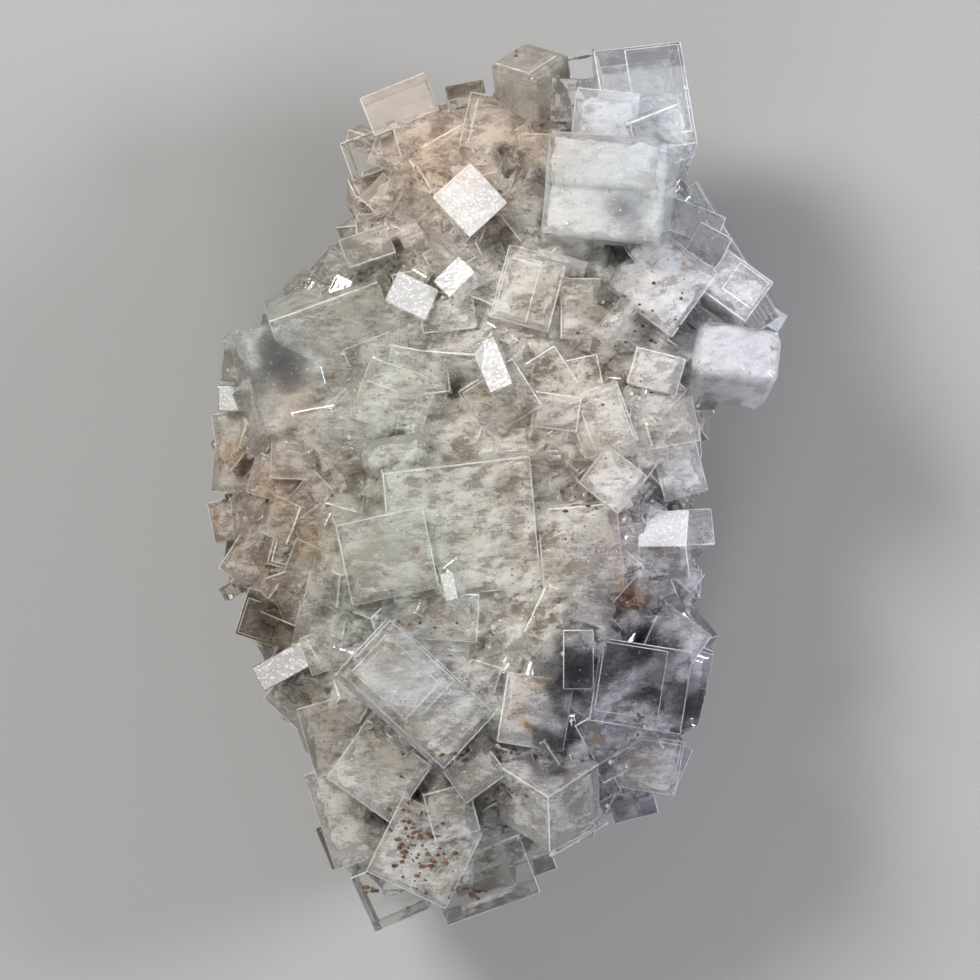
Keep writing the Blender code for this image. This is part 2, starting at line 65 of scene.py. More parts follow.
# name, middle of the outer face (x, y, z), its width and height, the crystal's depth (mm),
# the turn of the face, how far it leans from +Z, which way it leans (degrees), and its look
crystalRows = [
    # The tall right-hand head, with the crown crystal that stands out furthest
    ("crown", 13.4, 36.6, 44.0, 15.0, 12.6, 16.0, -5, 8, 150, "opal"),
    ("crownStep", 13.0, 40.1, 44.6, 13.6, 6.6, 4.0, -5, 8, 150, "opal"),
    ("tower", 18.6, 48.4, 35.0, 11.0, 13.6, 14.0, 8, 18, 75, "clear"),
    ("towerFlank", 10.9, 52.6, 31.0, 3.6, 3.6, 10.0, 10, 5, 90, "clear"),
    ("gable", 4.2, 53.2, 31.0, 7.1, 7.1, 8.0, -37, 60, 97, "amber"),
    ("splint", 8.4, 48.0, 36.0, 3.2, 5.4, 8.0, -4, 10, 200, "clear"),
    ("saddle", 13.6, 46.0, 37.0, 8.0, 6.5, 10.0, -6, 12, 90, "opal"),
    ("towerToe", 20.6, 43.0, 37.0, 7.0, 7.0, 10.0, 20, 22, -20, "lilac"),
    # The set-back left-hand head
    ("lobeRoof", -12.1, 47.9, 27.0, 8.8, 5.2, 9.0, 22, 8, 110, "amber"),
    ("lobeWing", -16.6, 41.5, 25.0, 4.8, 5.0, 8.0, 20, 10, 200, "clear"),
    ("lobeToe", -14.9, 36.0, 23.0, 4.4, 3.2, 7.0, -8, 5, 180, "clear"),
    ("lobeRidge", -3.7, 49.0, 28.0, 4.8, 3.2, 8.0, 12, 15, 90, "clear"),
    ("lobeAmber", -8.5, 38.0, 29.0, 4.2, 4.0, 8.0, 35, 15, 90, "amber"),
    ("lobeA", -8.2, 44.5, 27.0, 9.0, 6.0, 10.0, 15, 6, 60, "amber"),
    ("lobeB", 0.5, 45.1, 29.0, 9.0, 7.0, 10.0, -12, 8, 90, "amber"),
    ("lobeC", -12.6, 42.0, 26.0, 6.0, 5.0, 9.0, -20, 10, 180, "amber"),
    ("lobeD", -5.1, 42.0, 28.0, 7.0, 5.0, 9.0, 30, 12, 270, "amber"),
    # Between the heads and the middle
    ("sparkle", -3.2, 35.4, 41.0, 6.6, 6.8, 10.0, 43, 14, 50, "frost"),
    ("sparkleStep", -6.4, 31.5, 38.5, 2.2, 6.4, 8.0, 43, 14, 50, "lilac"),
    ("quill", 1.5, 39.2, 39.0, 2.4, 5.6, 8.0, -24, 11, 165, "clear"),
    ("quillFoot", 3.0, 34.1, 38.0, 4.6, 6.4, 9.0, 38, 10, -40, "amber"),
    ("chipWest", -10.6, 31.2, 37.5, 3.0, 2.6, 6.0, 30, 8, 100, "milky"),
    ("chipMid", -5.2, 25.9, 40.5, 4.6, 3.4, 6.0, 45, 28, 135, "frost"),
    ("plateMid", -10.4, 23.6, 40.0, 5.6, 4.2, 6.0, -25, 12, 60, "frost"),
    ("beacon", -4.8, 13.9, 39.0, 7.4, 6.6, 4.8, 7, 50, 235, "milky"),
    # The left shoulder
    ("leftWindow", -25.8, 13.9, 37.0, 9.5, 13.5, 12.0, 15, 12, 10, "opal"),
    ("leftRoof", -19.5, 17.6, 36.5, 14.5, 11.5, 14.0, 20, 13, -70, "milky"),
    ("tanTip", -24.5, 25.0, 25.0, 4.0, 3.0, 7.0, 42, 10, 130, "amber"),
    ("browA", -20.6, 27.6, 31.0, 3.6, 4.2, 8.0, -38, 8, 140, "lilac"),
    ("browB", -16.0, 29.8, 37.0, 6.2, 4.0, 8.0, 20, 20, 90, "milky"),
    ("browC", -13.8, 33.0, 32.0, 4.0, 2.6, 7.0, 25, 10, 110, "clear"),
    ("whiteWest", -33.1, 11.0, 27.0, 3.6, 3.3, 8.0, 0, 12, 200, "frost"),
    ("westRim", -32.9, 16.0, 30.0, 2.6, 6.0, 9.0, -8, 20, 170, "lilac"),
    # The left side, small blocks and brown-stained ones
    ("westA", -33.0, 7.0, 25.0, 5.4, 4.8, 9.0, 8, 20, 180, "milky"),
    ("westB", -32.8, 1.8, 25.0, 6.0, 5.6, 9.0, -6, 15, 180, "brown"),
    ("westC", -26.4, 2.6, 32.0, 7.5, 6.4, 9.0, -12, 8, 200, "brown"),
    ("westD", -22.2, 1.0, 35.0, 3.4, 4.6, 7.0, -6, 6, 270, "milky"),
    ("westE", -33.8, -4.2, 22.0, 4.6, 5.2, 8.0, 12, 15, 180, "brown"),
    ("westF", -30.1, -3.9, 28.0, 6.2, 4.2, 8.0, 5, 10, 200, "brown"),
    ("westCube", -23.9, -6.8, 34.0, 7.6, 8.0, 10.0, -15, 12, 10, "brown"),
    ("westLow", -30.8, -9.5, 28.5, 6.0, 6.0, 9.0, -34, 14, 200, "brown"),
    ("westBead", -33.6, -13.2, 20.0, 2.2, 1.8, 6.0, 30, 5, 180, "clear"),
    ("brownCube", -28.2, -16.8, 30.0, 7.8, 6.2, 9.0, -18, 10, 190, "brown"),
    ("whiteSlab", -26.2, -22.2, 33.5, 8.6, 3.4, 7.0, 29, 20, 205, "frost"),
    ("darkGem", -21.1, -15.4, 36.0, 1.8, 1.8, 5.0, -10, 5, 90, "clear"),
    ("slabHeel", -21.4, -20.5, 35.0, 5.0, 5.0, 8.0, 20, 6, 200, "milky"),
    # The middle, with the largest clear faces
    ("heartWest", -13.4, -8.7, 43.2, 11.0, 10.4, 13.0, 12, 12, -60, "green"),
    ("heartMain", -4.2, -5.4, 42.0, 18.4, 16.6, 15.0, 6, 16, -60, "green"),
    ("heartBlade", -5.8, -12.4, 42.4, 1.8, 3.6, 6.0, 14, 20, 180, "frost"),
    ("heartLow", -8.2, -16.1, 40.0, 12.0, 6.0, 10.0, -3, 8, 270, "milky"),
    ("southPlate", -9.8, -25.5, 40.5, 17.9, 9.4, 12.0, -43, 7, 47, "green"),
    ("southFrost", -12.4, -23.6, 41.6, 9.0, 6.4, 4.0, -43, 7, 47, "milky"),
    ("midC", 0.5, 10.8, 40.0, 8.0, 7.0, 9.0, 32, 10, 250, "green"),
    ("midD", -12.6, 10.8, 39.5, 9.0, 8.0, 10.0, -20, 8, 90, "green"),
    ("midE", -19.5, 7.0, 38.0, 8.0, 7.0, 10.0, 38, 10, 220, "milky"),
    # The right of the middle
    ("browEast", 4.0, 24.5, 40.0, 7.5, 9.4, 11.0, -15, 8, 120, "amber"),
    ("eastA", 10.5, 22.0, 39.0, 5.0, 7.5, 9.0, 0, 8, 0, "amber"),
    ("bladeEast", 14.5, 20.5, 41.0, 6.0, 2.2, 7.0, 50, 12, 140, "lilac"),
    ("eastB", 16.4, 25.4, 39.5, 3.2, 4.6, 7.0, -35, 15, -30, "amber"),
    ("eastC", 21.5, 24.8, 38.5, 8.0, 10.0, 11.0, -36, 10, 20, "milky"),
    ("eastD", 19.9, 14.2, 38.5, 6.4, 4.8, 9.0, -15, 14, -60, "milky"),
    ("midA", 7.4, 9.2, 40.0, 5.8, 4.4, 8.0, -8, 8, 180, "amber"),
    ("midB", 13.0, 8.2, 39.5, 7.0, 8.0, 9.0, 20, 6, 45, "milky"),
    ("eastE", 14.5, 0.8, 39.5, 6.4, 6.0, 9.0, -38, 10, 0, "lilac"),
    ("eastF", 10.5, -8.0, 39.5, 10.0, 11.0, 12.0, 5, 6, -20, "amber"),
    ("eastG", 12.4, -15.9, 40.0, 4.4, 3.2, 7.0, -22, 25, -60, "brown"),
    # The right shoulder: a long wedge seen on edge, and a round-shouldered block below it
    ("wedge", 27.3, 27.7, 31.0, 20.0, 7.0, 12.0, -58, 5, 212, "clear"),
    ("shoulder", 30.2, 17.0, 37.0, 10.8, 7.2, 11.0, -8, 22, 65, "opal"),
    ("hingeA", 26.4, 29.9, 36.0, 4.6, 4.4, 8.0, -28, 10, 20, "clear"),
    ("hingeB", 29.9, 24.9, 36.5, 7.0, 6.2, 9.0, -36, 12, 60, "milky"),
    ("hingeC", 24.2, 33.0, 35.0, 8.0, 4.2, 9.0, -22, 10, 60, "clear"),
    ("tipEast", 34.8, 20.8, 31.0, 2.6, 2.6, 7.0, -30, 5, 0, "frost"),
    # The right side
    ("rimA", 21.6, 7.8, 36.0, 7.0, 5.6, 9.0, 10, 12, 20, "lilac"),
    ("rimB", 23.0, 1.8, 34.0, 5.8, 6.4, 9.0, 15, 15, 0, "lilac"),
    ("eastCube", 20.8, -5.2, 36.5, 6.0, 6.2, 6.2, -2, 45, 98, "frost"),
    ("eastEnd", 24.9, -5.1, 33.5, 4.6, 4.6, 8.0, 4, 20, 40, "lilac"),
    ("eastStep", 22.8, -12.1, 30.0, 5.8, 3.7, 8.0, -3, 6, 20, "lilac"),
    ("rustCube", 17.6, -13.4, 36.0, 5.2, 3.4, 8.0, -3, 8, 270, "brown"),
    ("rustSide", 17.0, -8.0, 37.0, 3.4, 7.0, 8.0, 6, 10, 0, "amber"),
    # The lower right
    ("seWindow", 18.0, -24.8, 38.5, 11.6, 10.4, 12.0, -9, 6, 0, "clear"),
    ("seFlank", 23.8, -25.0, 33.0, 5.6, 9.6, 11.0, -14, 26, 0, "lilac"),
    ("seBrow", 22.6, -18.2, 34.0, 7.6, 4.6, 10.0, -36, 16, 50, "lilac"),
    ("prismA", 10.2, -21.5, 40.0, 3.8, 7.4, 9.0, 0, 4, 270, "clear"),
    ("prismB", 7.2, -21.2, 39.5, 2.8, 7.0, 9.0, -2, 4, 270, "clear"),
    ("seLow", 19.0, -34.6, 34.5, 8.0, 7.0, 10.0, -10, 12, -60, "milky"),
    ("seRim", 21.6, -34.9, 29.5, 4.4, 6.0, 8.0, -24, 18, -20, "lilac"),
    ("seToe", 17.1, -39.8, 28.5, 5.8, 4.2, 8.0, 15, 20, -80, "clear"),
    ("arrow", 6.5, -34.5, 39.0, 8.9, 8.9, 9.0, 45, 52, 92, "lilac"),
    ("seMid", 14.2, -30.5, 38.0, 7.0, 6.0, 9.0, 30, 15, -45, "clear"),
    # The foot
    ("footWest", -13.2, -50.9, 31.0, 7.6, 7.6, 10.0, 24, 10, -100, "clear"),
    ("footEast", -1.6, -49.2, 32.0, 12.4, 8.0, 11.0, 20, 12, -80, "clear"),
    ("footMid", -8.9, -45.5, 37.0, 11.0, 10.6, 12.0, -26, 8, -90, "milky"),
    ("footGem", -5.5, -40.5, 38.5, 5.8, 6.2, 9.0, 15, 6, -60, "green"),
    ("westFlank", -19.2, -41.1, 31.0, 6.4, 12.6, 10.0, 19, 16, 195, "milky"),
    ("flankBead", -20.1, -45.1, 24.0, 3.6, 5.6, 8.0, 22, 18, 200, "clear"),
    ("flankMid", -20.1, -31.1, 34.0, 7.6, 9.0, 10.0, 16, 12, 200, "milky"),
    ("flankHigh", -25.6, -27.0, 28.0, 6.0, 4.6, 9.0, -42, 18, 215, "milky"),
    ("keelA", 9.0, -40.8, 34.5, 7.6, 7.4, 10.0, 30, 15, -70, "lilac"),
    ("keelB", 3.4, -46.6, 30.0, 7.2, 5.6, 9.0, 20, 18, -75, "clear"),
    ("keelC", 8.2, -44.6, 30.0, 4.4, 2.0, 7.0, 28, 10, -60, "frost"),
    ("lowMid", 4.9, -28.0, 39.5, 8.4, 8.8, 10.0, -9, 6, 0, "brown"),
    ("lowA", -2.6, -35.5, 39.0, 6.4, 5.0, 9.0, 36, 8, 120, "milky"),
    ("lowB", -14.5, -35.5, 37.0, 10.0, 9.0, 11.0, -35, 10, 200, "milky"),
    ("lowC", 12.4, -38.0, 34.0, 5.0, 8.0, 9.0, -25, 12, -45, "clear"),
]

smallCrystals = {
    "faceCount": 140, "faceSize": (4.0 * mm, 6.8 * mm), "faceRise": 1.2 * mm, "faceSeed": 11, "faceReach": 0.97,
    "sideLevels": (0.29, 0.42, 0.55), "sideCount": 28, "sideSize": (5.2 * mm, 8.4 * mm),
    "sideRise": 0.9 * mm, "sideLean": (66.0, 94.0), "sideLeanChange": 14.0, "sideSeed": 23,
}

goldenAngle = math.pi * (3.0 - math.sqrt(5.0))
looks = ["milky", "green", "clear", "lilac", "amber", "brown", "frost", "edge", "opal"]

# the body tint of each part of the specimen: middle (x, y, mm), reach (mm) and colour
tintZones = [
    ("left head", -8, 42, 12, (0.88, 0.80, 0.73)),
    ("gable", 4, 50, 6, (0.78, 0.73, 0.66)),
    ("right head", 19, 48, 11, (0.86, 0.89, 0.95)),
    ("crown", 13, 37, 9, (0.80, 0.82, 0.81)),
    ("left roof", -22, 17, 12, (0.70, 0.71, 0.67)),
    ("west side", -29, -3, 11, (0.66, 0.60, 0.54)),
    ("heart", -12, -8, 11, (0.68, 0.70, 0.65)),
    ("heart's right", 1, -4, 9, (0.75, 0.73, 0.68)),
    ("right middle", 12, 10, 13, (0.78, 0.75, 0.71)),
    ("upper middle", 0, 24, 10, (0.84, 0.82, 0.78)),
    ("right shoulder", 31, 21, 12, (0.93, 0.94, 0.99)),
    ("right side", 24, -3, 9, (0.77, 0.77, 0.82)),
    ("lower right", 20, -26, 13, (0.62, 0.63, 0.69)),
    ("below the heart", 0, -17, 8, (0.84, 0.83, 0.79)),
    ("south plate", -10, -25, 9, (0.67, 0.68, 0.69)),
    ("lower left", -19, -34, 11, (0.69, 0.67, 0.63)),
    ("foot", -5, -47, 14, (0.65, 0.65, 0.64)),
]

# marks, painted shade and painted glow seen through the milky zones: the dark patches and windows are painted shade for
# the darkness seen through clear crystal, and the glows are painted light; middle (x, y, mm), reach (mm), strength and
# colour
marksShadeAndGlowZones = [
    ("left window's dark patch", -27.0, 15.0, 3.4, 1.0, (0.05, 0.07, 0.09)),
    ("left window's glow", -25.4, 10.8, 2.8, 0.55, (0.62, 0.43, 0.26)),
    ("brown cube", -28.7, -16.7, 3.8, 1.0, (0.17, 0.10, 0.04)),
    ("west glow", -28.2, -0.5, 2.2, 0.7, (0.58, 0.36, 0.20)),
    ("crown's dark patch", 15.6, 34.2, 2.0, 0.95, (0.10, 0.12, 0.16)),
    ("crown's second dark patch", 17.6, 31.6, 1.6, 0.9, (0.12, 0.14, 0.18)),
    ("left head's tan core", 4.6, 43.8, 3.2, 0.6, (0.88, 0.64, 0.46)),
    ("left head's tan side", -8.4, 42.8, 4.2, 0.5, (0.86, 0.65, 0.48)),
    ("heart's glow", -13.9, -6.7, 3.4, 0.8, (0.90, 0.95, 0.92)),
    ("cream patch", 5.7, -16.1, 3.4, 0.9, (1.0, 0.96, 0.88)),
    ("rust patch", 16.6, -13.4, 1.9, 1.0, (0.30, 0.11, 0.01)),
    ("dark gem", -21.3, -15.2, 1.4, 1.0, (0.02, 0.03, 0.03)),
    ("lower window", 10.0, -22.6, 3.4, 1.0, (0.03, 0.04, 0.06)),
    ("lower right window", 17.8, -20.6, 3.4, 1.0, (0.04, 0.04, 0.07)),
    ("small lower window", 7.4, -31.8, 2.4, 1.0, (0.04, 0.04, 0.05)),
    ("right window", 24.2, -26.8, 3.0, 0.95, (0.05, 0.04, 0.07)),
    ("arrow's shade", 9.6, -38.0, 2.4, 0.6, (0.20, 0.21, 0.23)),
    ("right head's milk", 19.5, 45.5, 4.5, 0.8, (0.94, 0.96, 1.0)),
]

# where the milky zones are smooth: middle (x, y, mm) and reach (mm)
calmZones = [
    ("crown", 13.4, 37.2, 8.5), ("right head", 19.0, 46.0, 6.0), ("shoulder", 30.5, 17.0, 7.0),
    ("left window", -26.0, 14.0, 7.5), ("heart west", -13.6, -7.6, 5.5), ("south plate", -12.0, -24.0, 5.0),
    ("lower window", 10.0, -22.6, 3.6), ("lower right window", 17.8, -20.6, 3.8),
    ("small lower window", 7.4, -31.8, 2.6), ("right window", 24.2, -26.8, 3.2), ("brown cube", -28.7, -16.7, 3.6),
]


def reachAt(angle):
    reach = rockForm["reachMm"]
    place = (angle / math.tau * len(reach)) % len(reach)
    first = int(place)
    low = reach[first]
    high = reach[(first + 1) % len(reach)]
    return (low + (high - low) * (place - first)) * mm


def faceTurn(spin, lean, toward):
    # turns a face about itself, then tips it over towards one side
    axis = Vector((-math.sin(toward), math.cos(toward), 0.0))
    return Matrix.Rotation(lean, 4, axis) @ Matrix.Rotation(spin, 4, "Z")


def domePoint(angle, share):
    reach = reachAt(angle) + rockForm["crustOverhang"]
    shoulder = crustForm["rings"][2]
    rings = [shoulder] + [ring for ring in crustForm["rings"] if ring[1] > shoulder[1]] + [(0.0, 1.0)]
    for outer, inner in zip(rings, rings[1:]):
        if inner[0] <= share <= outer[0]:
            part = (outer[0] - share) / (outer[0] - inner[0])
            height = (outer[1] + (inner[1] - outer[1]) * part) * crustForm["top"]
            slope = math.atan2((inner[1] - outer[1]) * crustForm["top"], (outer[0] - inner[0]) * reach)
            break
    flat = Vector((reach * share * math.cos(angle), reach * share * math.sin(angle), height))
    return rockForm["middle"] + flat, slope


blockStyle = {
    "bevel": 0.13 * mm, "smallBevel": 0.10 * mm, "smallSize": 3.0 * mm, "softBevel": 0.4 * mm, "edgeSize": 3.6 * mm,
    "plateHeight": 0.28 * mm, "plateFrom": 6.0 * mm, "seed": 41,
    "roundSteps": 3, "plateShare": (0.5, 0.86), "plateDepth": 3.0 * mm, "plateInset": 0.4 * mm, "plateBevel": 0.12 * mm,
    # frostSides frosts one side of the beacon and of the shoulder; the beacon's frosted side stands in part for its lit
    # side, a painted highlight
    "frostSides": {"beacon": 0, "shoulder": 1}, "glint": (21.0, 138.0, 8.0),
    "rounded": {
        "shoulder": 1.5 * mm, "crown": 0.6 * mm, "crownStep": 0.5 * mm, "gable": 0.5 * mm,
        "leftWindow": 0.6 * mm, "heartShoulder": 0.5 * mm,
    },
    "sideLooks": {"heartMain": "opal", "heartWest": "opal", "southPlate": "opal", "leftRoof": "opal"},
}

# thin crystals and steps that stand a little out of the larger ones, listed as those are
stepRows = [
    ("heartSeam", -7.1, -4.2, 43.0, 0.4, 10.0, 3.0, 15.4, 16, -60, "milky"),
    ("heartShoulder", -12.8, 4.6, 43.6, 8.0, 3.6, 5.0, 8, 26, 115, "opal"),
    ("southBevel", -13.6, -28.6, 40.5, 16.0, 1.5, 4.0, -42, 38, 228, "opal"),
    ("leftStep", -22.5, 8.6, 37.6, 6.0, 2.2, 5.0, 14, 30, 250, "opal"),
    ("browEdge", 8.2, 28.2, 40.2, 6.5, 1.1, 4.0, -15, 34, 70, "opal"),
    ("midEdge", 4.2, 3.5, 41.1, 9.5, 0.7, 3.0, 6, 30, 96, "milky"),
    ("beaconFace", -0.5, 15.0, 41.7, 3.2, 6.6, 4.0, 22, 14, 150, "frost"),
]
wedgeBands = {
    "count": 5, "size": (19.4 * mm, 0.30 * mm, 2.0 * mm), "shorter": 1.1 * mm, "step": 0.62 * mm, "proud": 0.15 * mm,
    "bevel": 0.06 * mm,
}


faceLayers = ("faceNear", "faceFar", "faceTone")


def newBody():
    bm = bmesh.new()
    for layer in faceLayers:
        bm.loops.layers.uv.new(layer)
    return bm


def pourInto(target, bm, place):
    # sets a small mesh in place and adds it to a larger one
    bm.transform(place)
    mesh = bpy.data.meshes.new("part")
    bm.to_mesh(mesh)
    bm.free()
    target.from_mesh(mesh)
    bpy.data.meshes.remove(mesh)


def newPiece(name, bm):
    mesh = bpy.data.meshes.new(name)
    bm.to_mesh(mesh)
    bm.free()
    piece = bpy.data.objects.new(name, mesh)
    bpy.context.scene.collection.objects.link(piece)
    return piece


def addBlock(target, size, place, look, faceLook=None, bevel=None, frostSide=None):
    # one bevelled block: its faces carry millimetres from a corner, for lines along the edges,
    # and each flat face has a tone and a chance of its own
    bm = newBody()
    bmesh.ops.create_cube(bm, size=1.0, matrix=Matrix.Diagonal((*size, 1.0)))
    near, far, tone = [bm.loops.layers.uv[layer] for layer in faceLayers]
    start = place.translation / mm
    blockTone = random.Random(round(start.x * 97.0 + start.y * 13.0 + start.z * 7.0)).random()
    if bevel is None:
        bevel = blockStyle["smallBevel"] if min(size[:2]) < blockStyle["smallSize"] else blockStyle["bevel"]
    steps = blockStyle["roundSteps"] if bevel > blockStyle["softBevel"] else 1
    bmesh.ops.bevel(bm, geom=list(bm.edges), offset=bevel, segments=steps, affect="EDGES", profile=0.5)
    for face in bm.faces:
        across = max(range(3), key=lambda axis: abs(face.normal[axis]))
        flat = abs(face.normal[across]) > 0.99
        outer = across == 2 and face.normal.z > 0.0
        finish = faceLook if outer and faceLook else look
        # the frosted side is whiter where light fell on it: partly painted highlight
        if flat and across == frostSide and face.normal[across] > 0.0:
            finish = "frost"
        # the edge look whitens the bevels: partly chipped white edges, partly painted highlight along them
        if not flat and bevel < blockStyle["softBevel"] and min(size[:2]) > blockStyle["edgeSize"]:
            finish = "edge"
        face.material_index = looks.index(finish)
        sides = [axis for axis in range(3) if axis != across]
        faceTone = (blockTone + 0.37 * across + 0.11 * (face.normal[across] > 0.0)) % 1.0
        for loop in face.loops:
            loop[tone].uv = (blockTone, faceTone)
            reach = [loop.vert.co[axis] + 0.5 * size[axis] for axis in sides]
            loop[near].uv = (reach[0] / mm, reach[1] / mm)
            loop[far].uv = ((size[sides[0]] - reach[0]) / mm, (size[sides[1]] - reach[1]) / mm)
    pourInto(target, bm, place)


def crystalPlace(faceMiddle, depth, turn):
    return Matrix.Translation(faceMiddle) @ turn @ Matrix.Translation((0.0, 0.0, -0.5 * depth))


def growthPlates(blocks, dice, faceMiddle, size, turn, look):
    # thin raised plates on a large face, as it grew in steps from one corner
    for level in range(dice.choice((0, 1))):
        share = [dice.uniform(*blockStyle["plateShare"]) for side in range(2)]
        plate = (size[0] * share[0], size[1] * share[1], blockStyle["plateDepth"])
        side = (dice.choice((-1, 1)), dice.choice((-1, 1)))
        inset = blockStyle["plateInset"]
        offset = Vector((
            side[0] * (0.5 * (size[0] - plate[0]) - inset),
            side[1] * (0.5 * (size[1] - plate[1]) - inset),
            blockStyle["plateHeight"] * dice.uniform(0.5, 1.2) * (level + 1),
        ))
        place = crystalPlace(faceMiddle + turn @ offset, plate[2], turn)
        blocks.append({"name": "plate", "size": plate, "place": place, "look": look, "bevel": blockStyle["plateBevel"]})


def addBands(blocks, faceMiddle, size, turn):
    # fine parallel steps along the long outer edge of the wedge
    long, narrow, deep = wedgeBands["size"]
    for count in range(wedgeBands["count"]):
        shift = Vector((0.4 * wedgeBands["shorter"] * count, 0.5 * size[1] - (count + 0.6) * wedgeBands["step"],
                        wedgeBands["proud"] * (1.0 - 0.15 * count)))
        blocks.append({
            "name": "plate", "size": (long - wedgeBands["shorter"] * count, narrow, deep),
            "place": crystalPlace(faceMiddle + turn @ shift, deep, turn), "look": "lilac", "bevel": wedgeBands["bevel"],
        })


def largeCrystals():
    blocks = []
    dice = random.Random(blockStyle["seed"])
    for name, x, y, z, width, height, depth, spin, lean, toward, look in crystalRows + stepRows:
        faceMiddle = Vector((x, y, z)) * mm
        size = (width * mm, height * mm, depth * mm)
        turn = faceTurn(math.radians(spin), math.radians(lean), math.radians(toward))
        blocks.append({
            "name": name, "size": size, "place": crystalPlace(faceMiddle, size[2], turn),
            "look": blockStyle["sideLooks"].get(name, "milky" if look == "frost" else look), "faceLook": look,
            "bevel": blockStyle["rounded"].get(name),
        })
        if min(size[:2]) > blockStyle["plateFrom"] and look not in ("frost", "opal"):
            growthPlates(blocks, dice, faceMiddle, size, turn, look)
        if name == "wedge":
            addBands(blocks, faceMiddle, size, turn)
    return blocks


def lookAround(place, dice):
    # the small crystals take the tint of their part of the specimen
    x, y = place.x / mm, place.y / mm
    if x < 9 and y > 33:
        return dice.choice(("amber", "amber", "clear", "milky"))
    if x < -19 and -20 < y < 9:
        return dice.choice(("brown", "amber", "milky", "brown"))
    if x > 17 or (x > 4 and y < -15):
        return dice.choice(("lilac", "lilac", "clear", "milky"))
    return dice.choice(("green", "milky", "green", "clear", "amber"))


def withoutGlint(turn):
    # a block that would throw the whole key light back is tipped a little further
    lean, toward, spread = (math.radians(angle) for angle in blockStyle["glint"])
    mirror = faceTurn(0.0, lean, toward) @ up
    if (turn @ up).angle(mirror) < spread:
        return Matrix.Rotation(-2.0 * spread, 4, Vector((-math.sin(toward), math.cos(toward), 0.0))) @ turn
    return turn


def smallBlocks():
    blocks = []
    chooser = random.Random(blockStyle["seed"] + 1)
    dice = random.Random(smallCrystals["faceSeed"])
    for count in range(smallCrystals["faceCount"]):
        share = math.sqrt((count + 0.5) / smallCrystals["faceCount"]) * smallCrystals["faceReach"]
        angle = (count * goldenAngle) % math.tau
        place, slope = domePoint(angle, share)
        size = dice.uniform(*smallCrystals["faceSize"])
        lean = 0.7 * slope + dice.uniform(-0.25, 0.25)
        turn = withoutGlint(faceTurn(dice.uniform(0.0, math.pi / 2), lean, angle + dice.uniform(-0.5, 0.5)))
        rise = turn @ Vector((0.0, 0.0, smallCrystals["faceRise"] * dice.uniform(0.5, 1.5)))
        block = (size, size * dice.uniform(0.7, 1.2), size * 1.6)
        look = lookAround(place, chooser)
        blocks.append({
            "name": "small", "size": block, "place": crystalPlace(place + rise, block[2], turn), "look": look,
        })
    dice = random.Random(smallCrystals["sideSeed"])
    for level, height in enumerate(smallCrystals["sideLevels"]):
        for count in range(smallCrystals["sideCount"]):
            shift = count + 0.5 * (level % 2) + dice.uniform(-0.3, 0.3)
            angle = math.tau * shift / smallCrystals["sideCount"]
            reach = reachAt(angle) + rockForm["crustOverhang"]
            size = dice.uniform(*smallCrystals["sideSize"])
            lean = math.radians(dice.uniform(*smallCrystals["sideLean"]) - smallCrystals["sideLeanChange"] * level)
            turn = faceTurn(dice.uniform(0.0, math.pi / 2), lean, angle + dice.uniform(-0.35, 0.35))
            rise = turn @ Vector((0.0, 0.0, smallCrystals["sideRise"] * dice.uniform(0.2, 1.0)))
            flat = Vector((reach * math.cos(angle), reach * math.sin(angle), height * crustForm["top"]))
            block = (size, size * dice.uniform(0.7, 1.1), size)
            place = rockForm["middle"] + flat + rise
            blocks.append({
                "name": "side", "size": block, "place": crystalPlace(place, size, turn),
                "look": lookAround(place, chooser),
            })
    return blocks


facetStyle = {
    "faceCount": 1400, "sideCount": 700, "sideHeight": (7.0 * mm, 33.0 * mm), "around": 2.3 * mm, "valley": 0.4 * mm,
    "apart": 1.9 * mm, "size": (2.0 * mm, 4.4 * mm), "lean": (14.0, 50.0), "seed": 71, "farAway": 0.2,
    "faceReach": 0.98, "lookouts": 8, "deepest": 1.6 * mm,
}


def reliefAt(tree, start, toward):
    # where a line meets the crystals, and how far that lies below what is around it
    hit, normal, face, gap = tree.ray_cast(start, toward)
    if hit is None:
        return None, 0.0
    side = toward.orthogonal().normalized()
    total, found = 0.0, 0
    for step in range(facetStyle["lookouts"]):
        shift = Matrix.Rotation(math.tau * step / facetStyle["lookouts"], 3, toward) @ side * facetStyle["around"]
        near, normal, face, reach = tree.ray_cast(start + shift, toward)
        if near is not None:
            total += reach
            found += 1
    return hit, (gap - total / found) if found > facetStyle["lookouts"] // 2 else 0.0


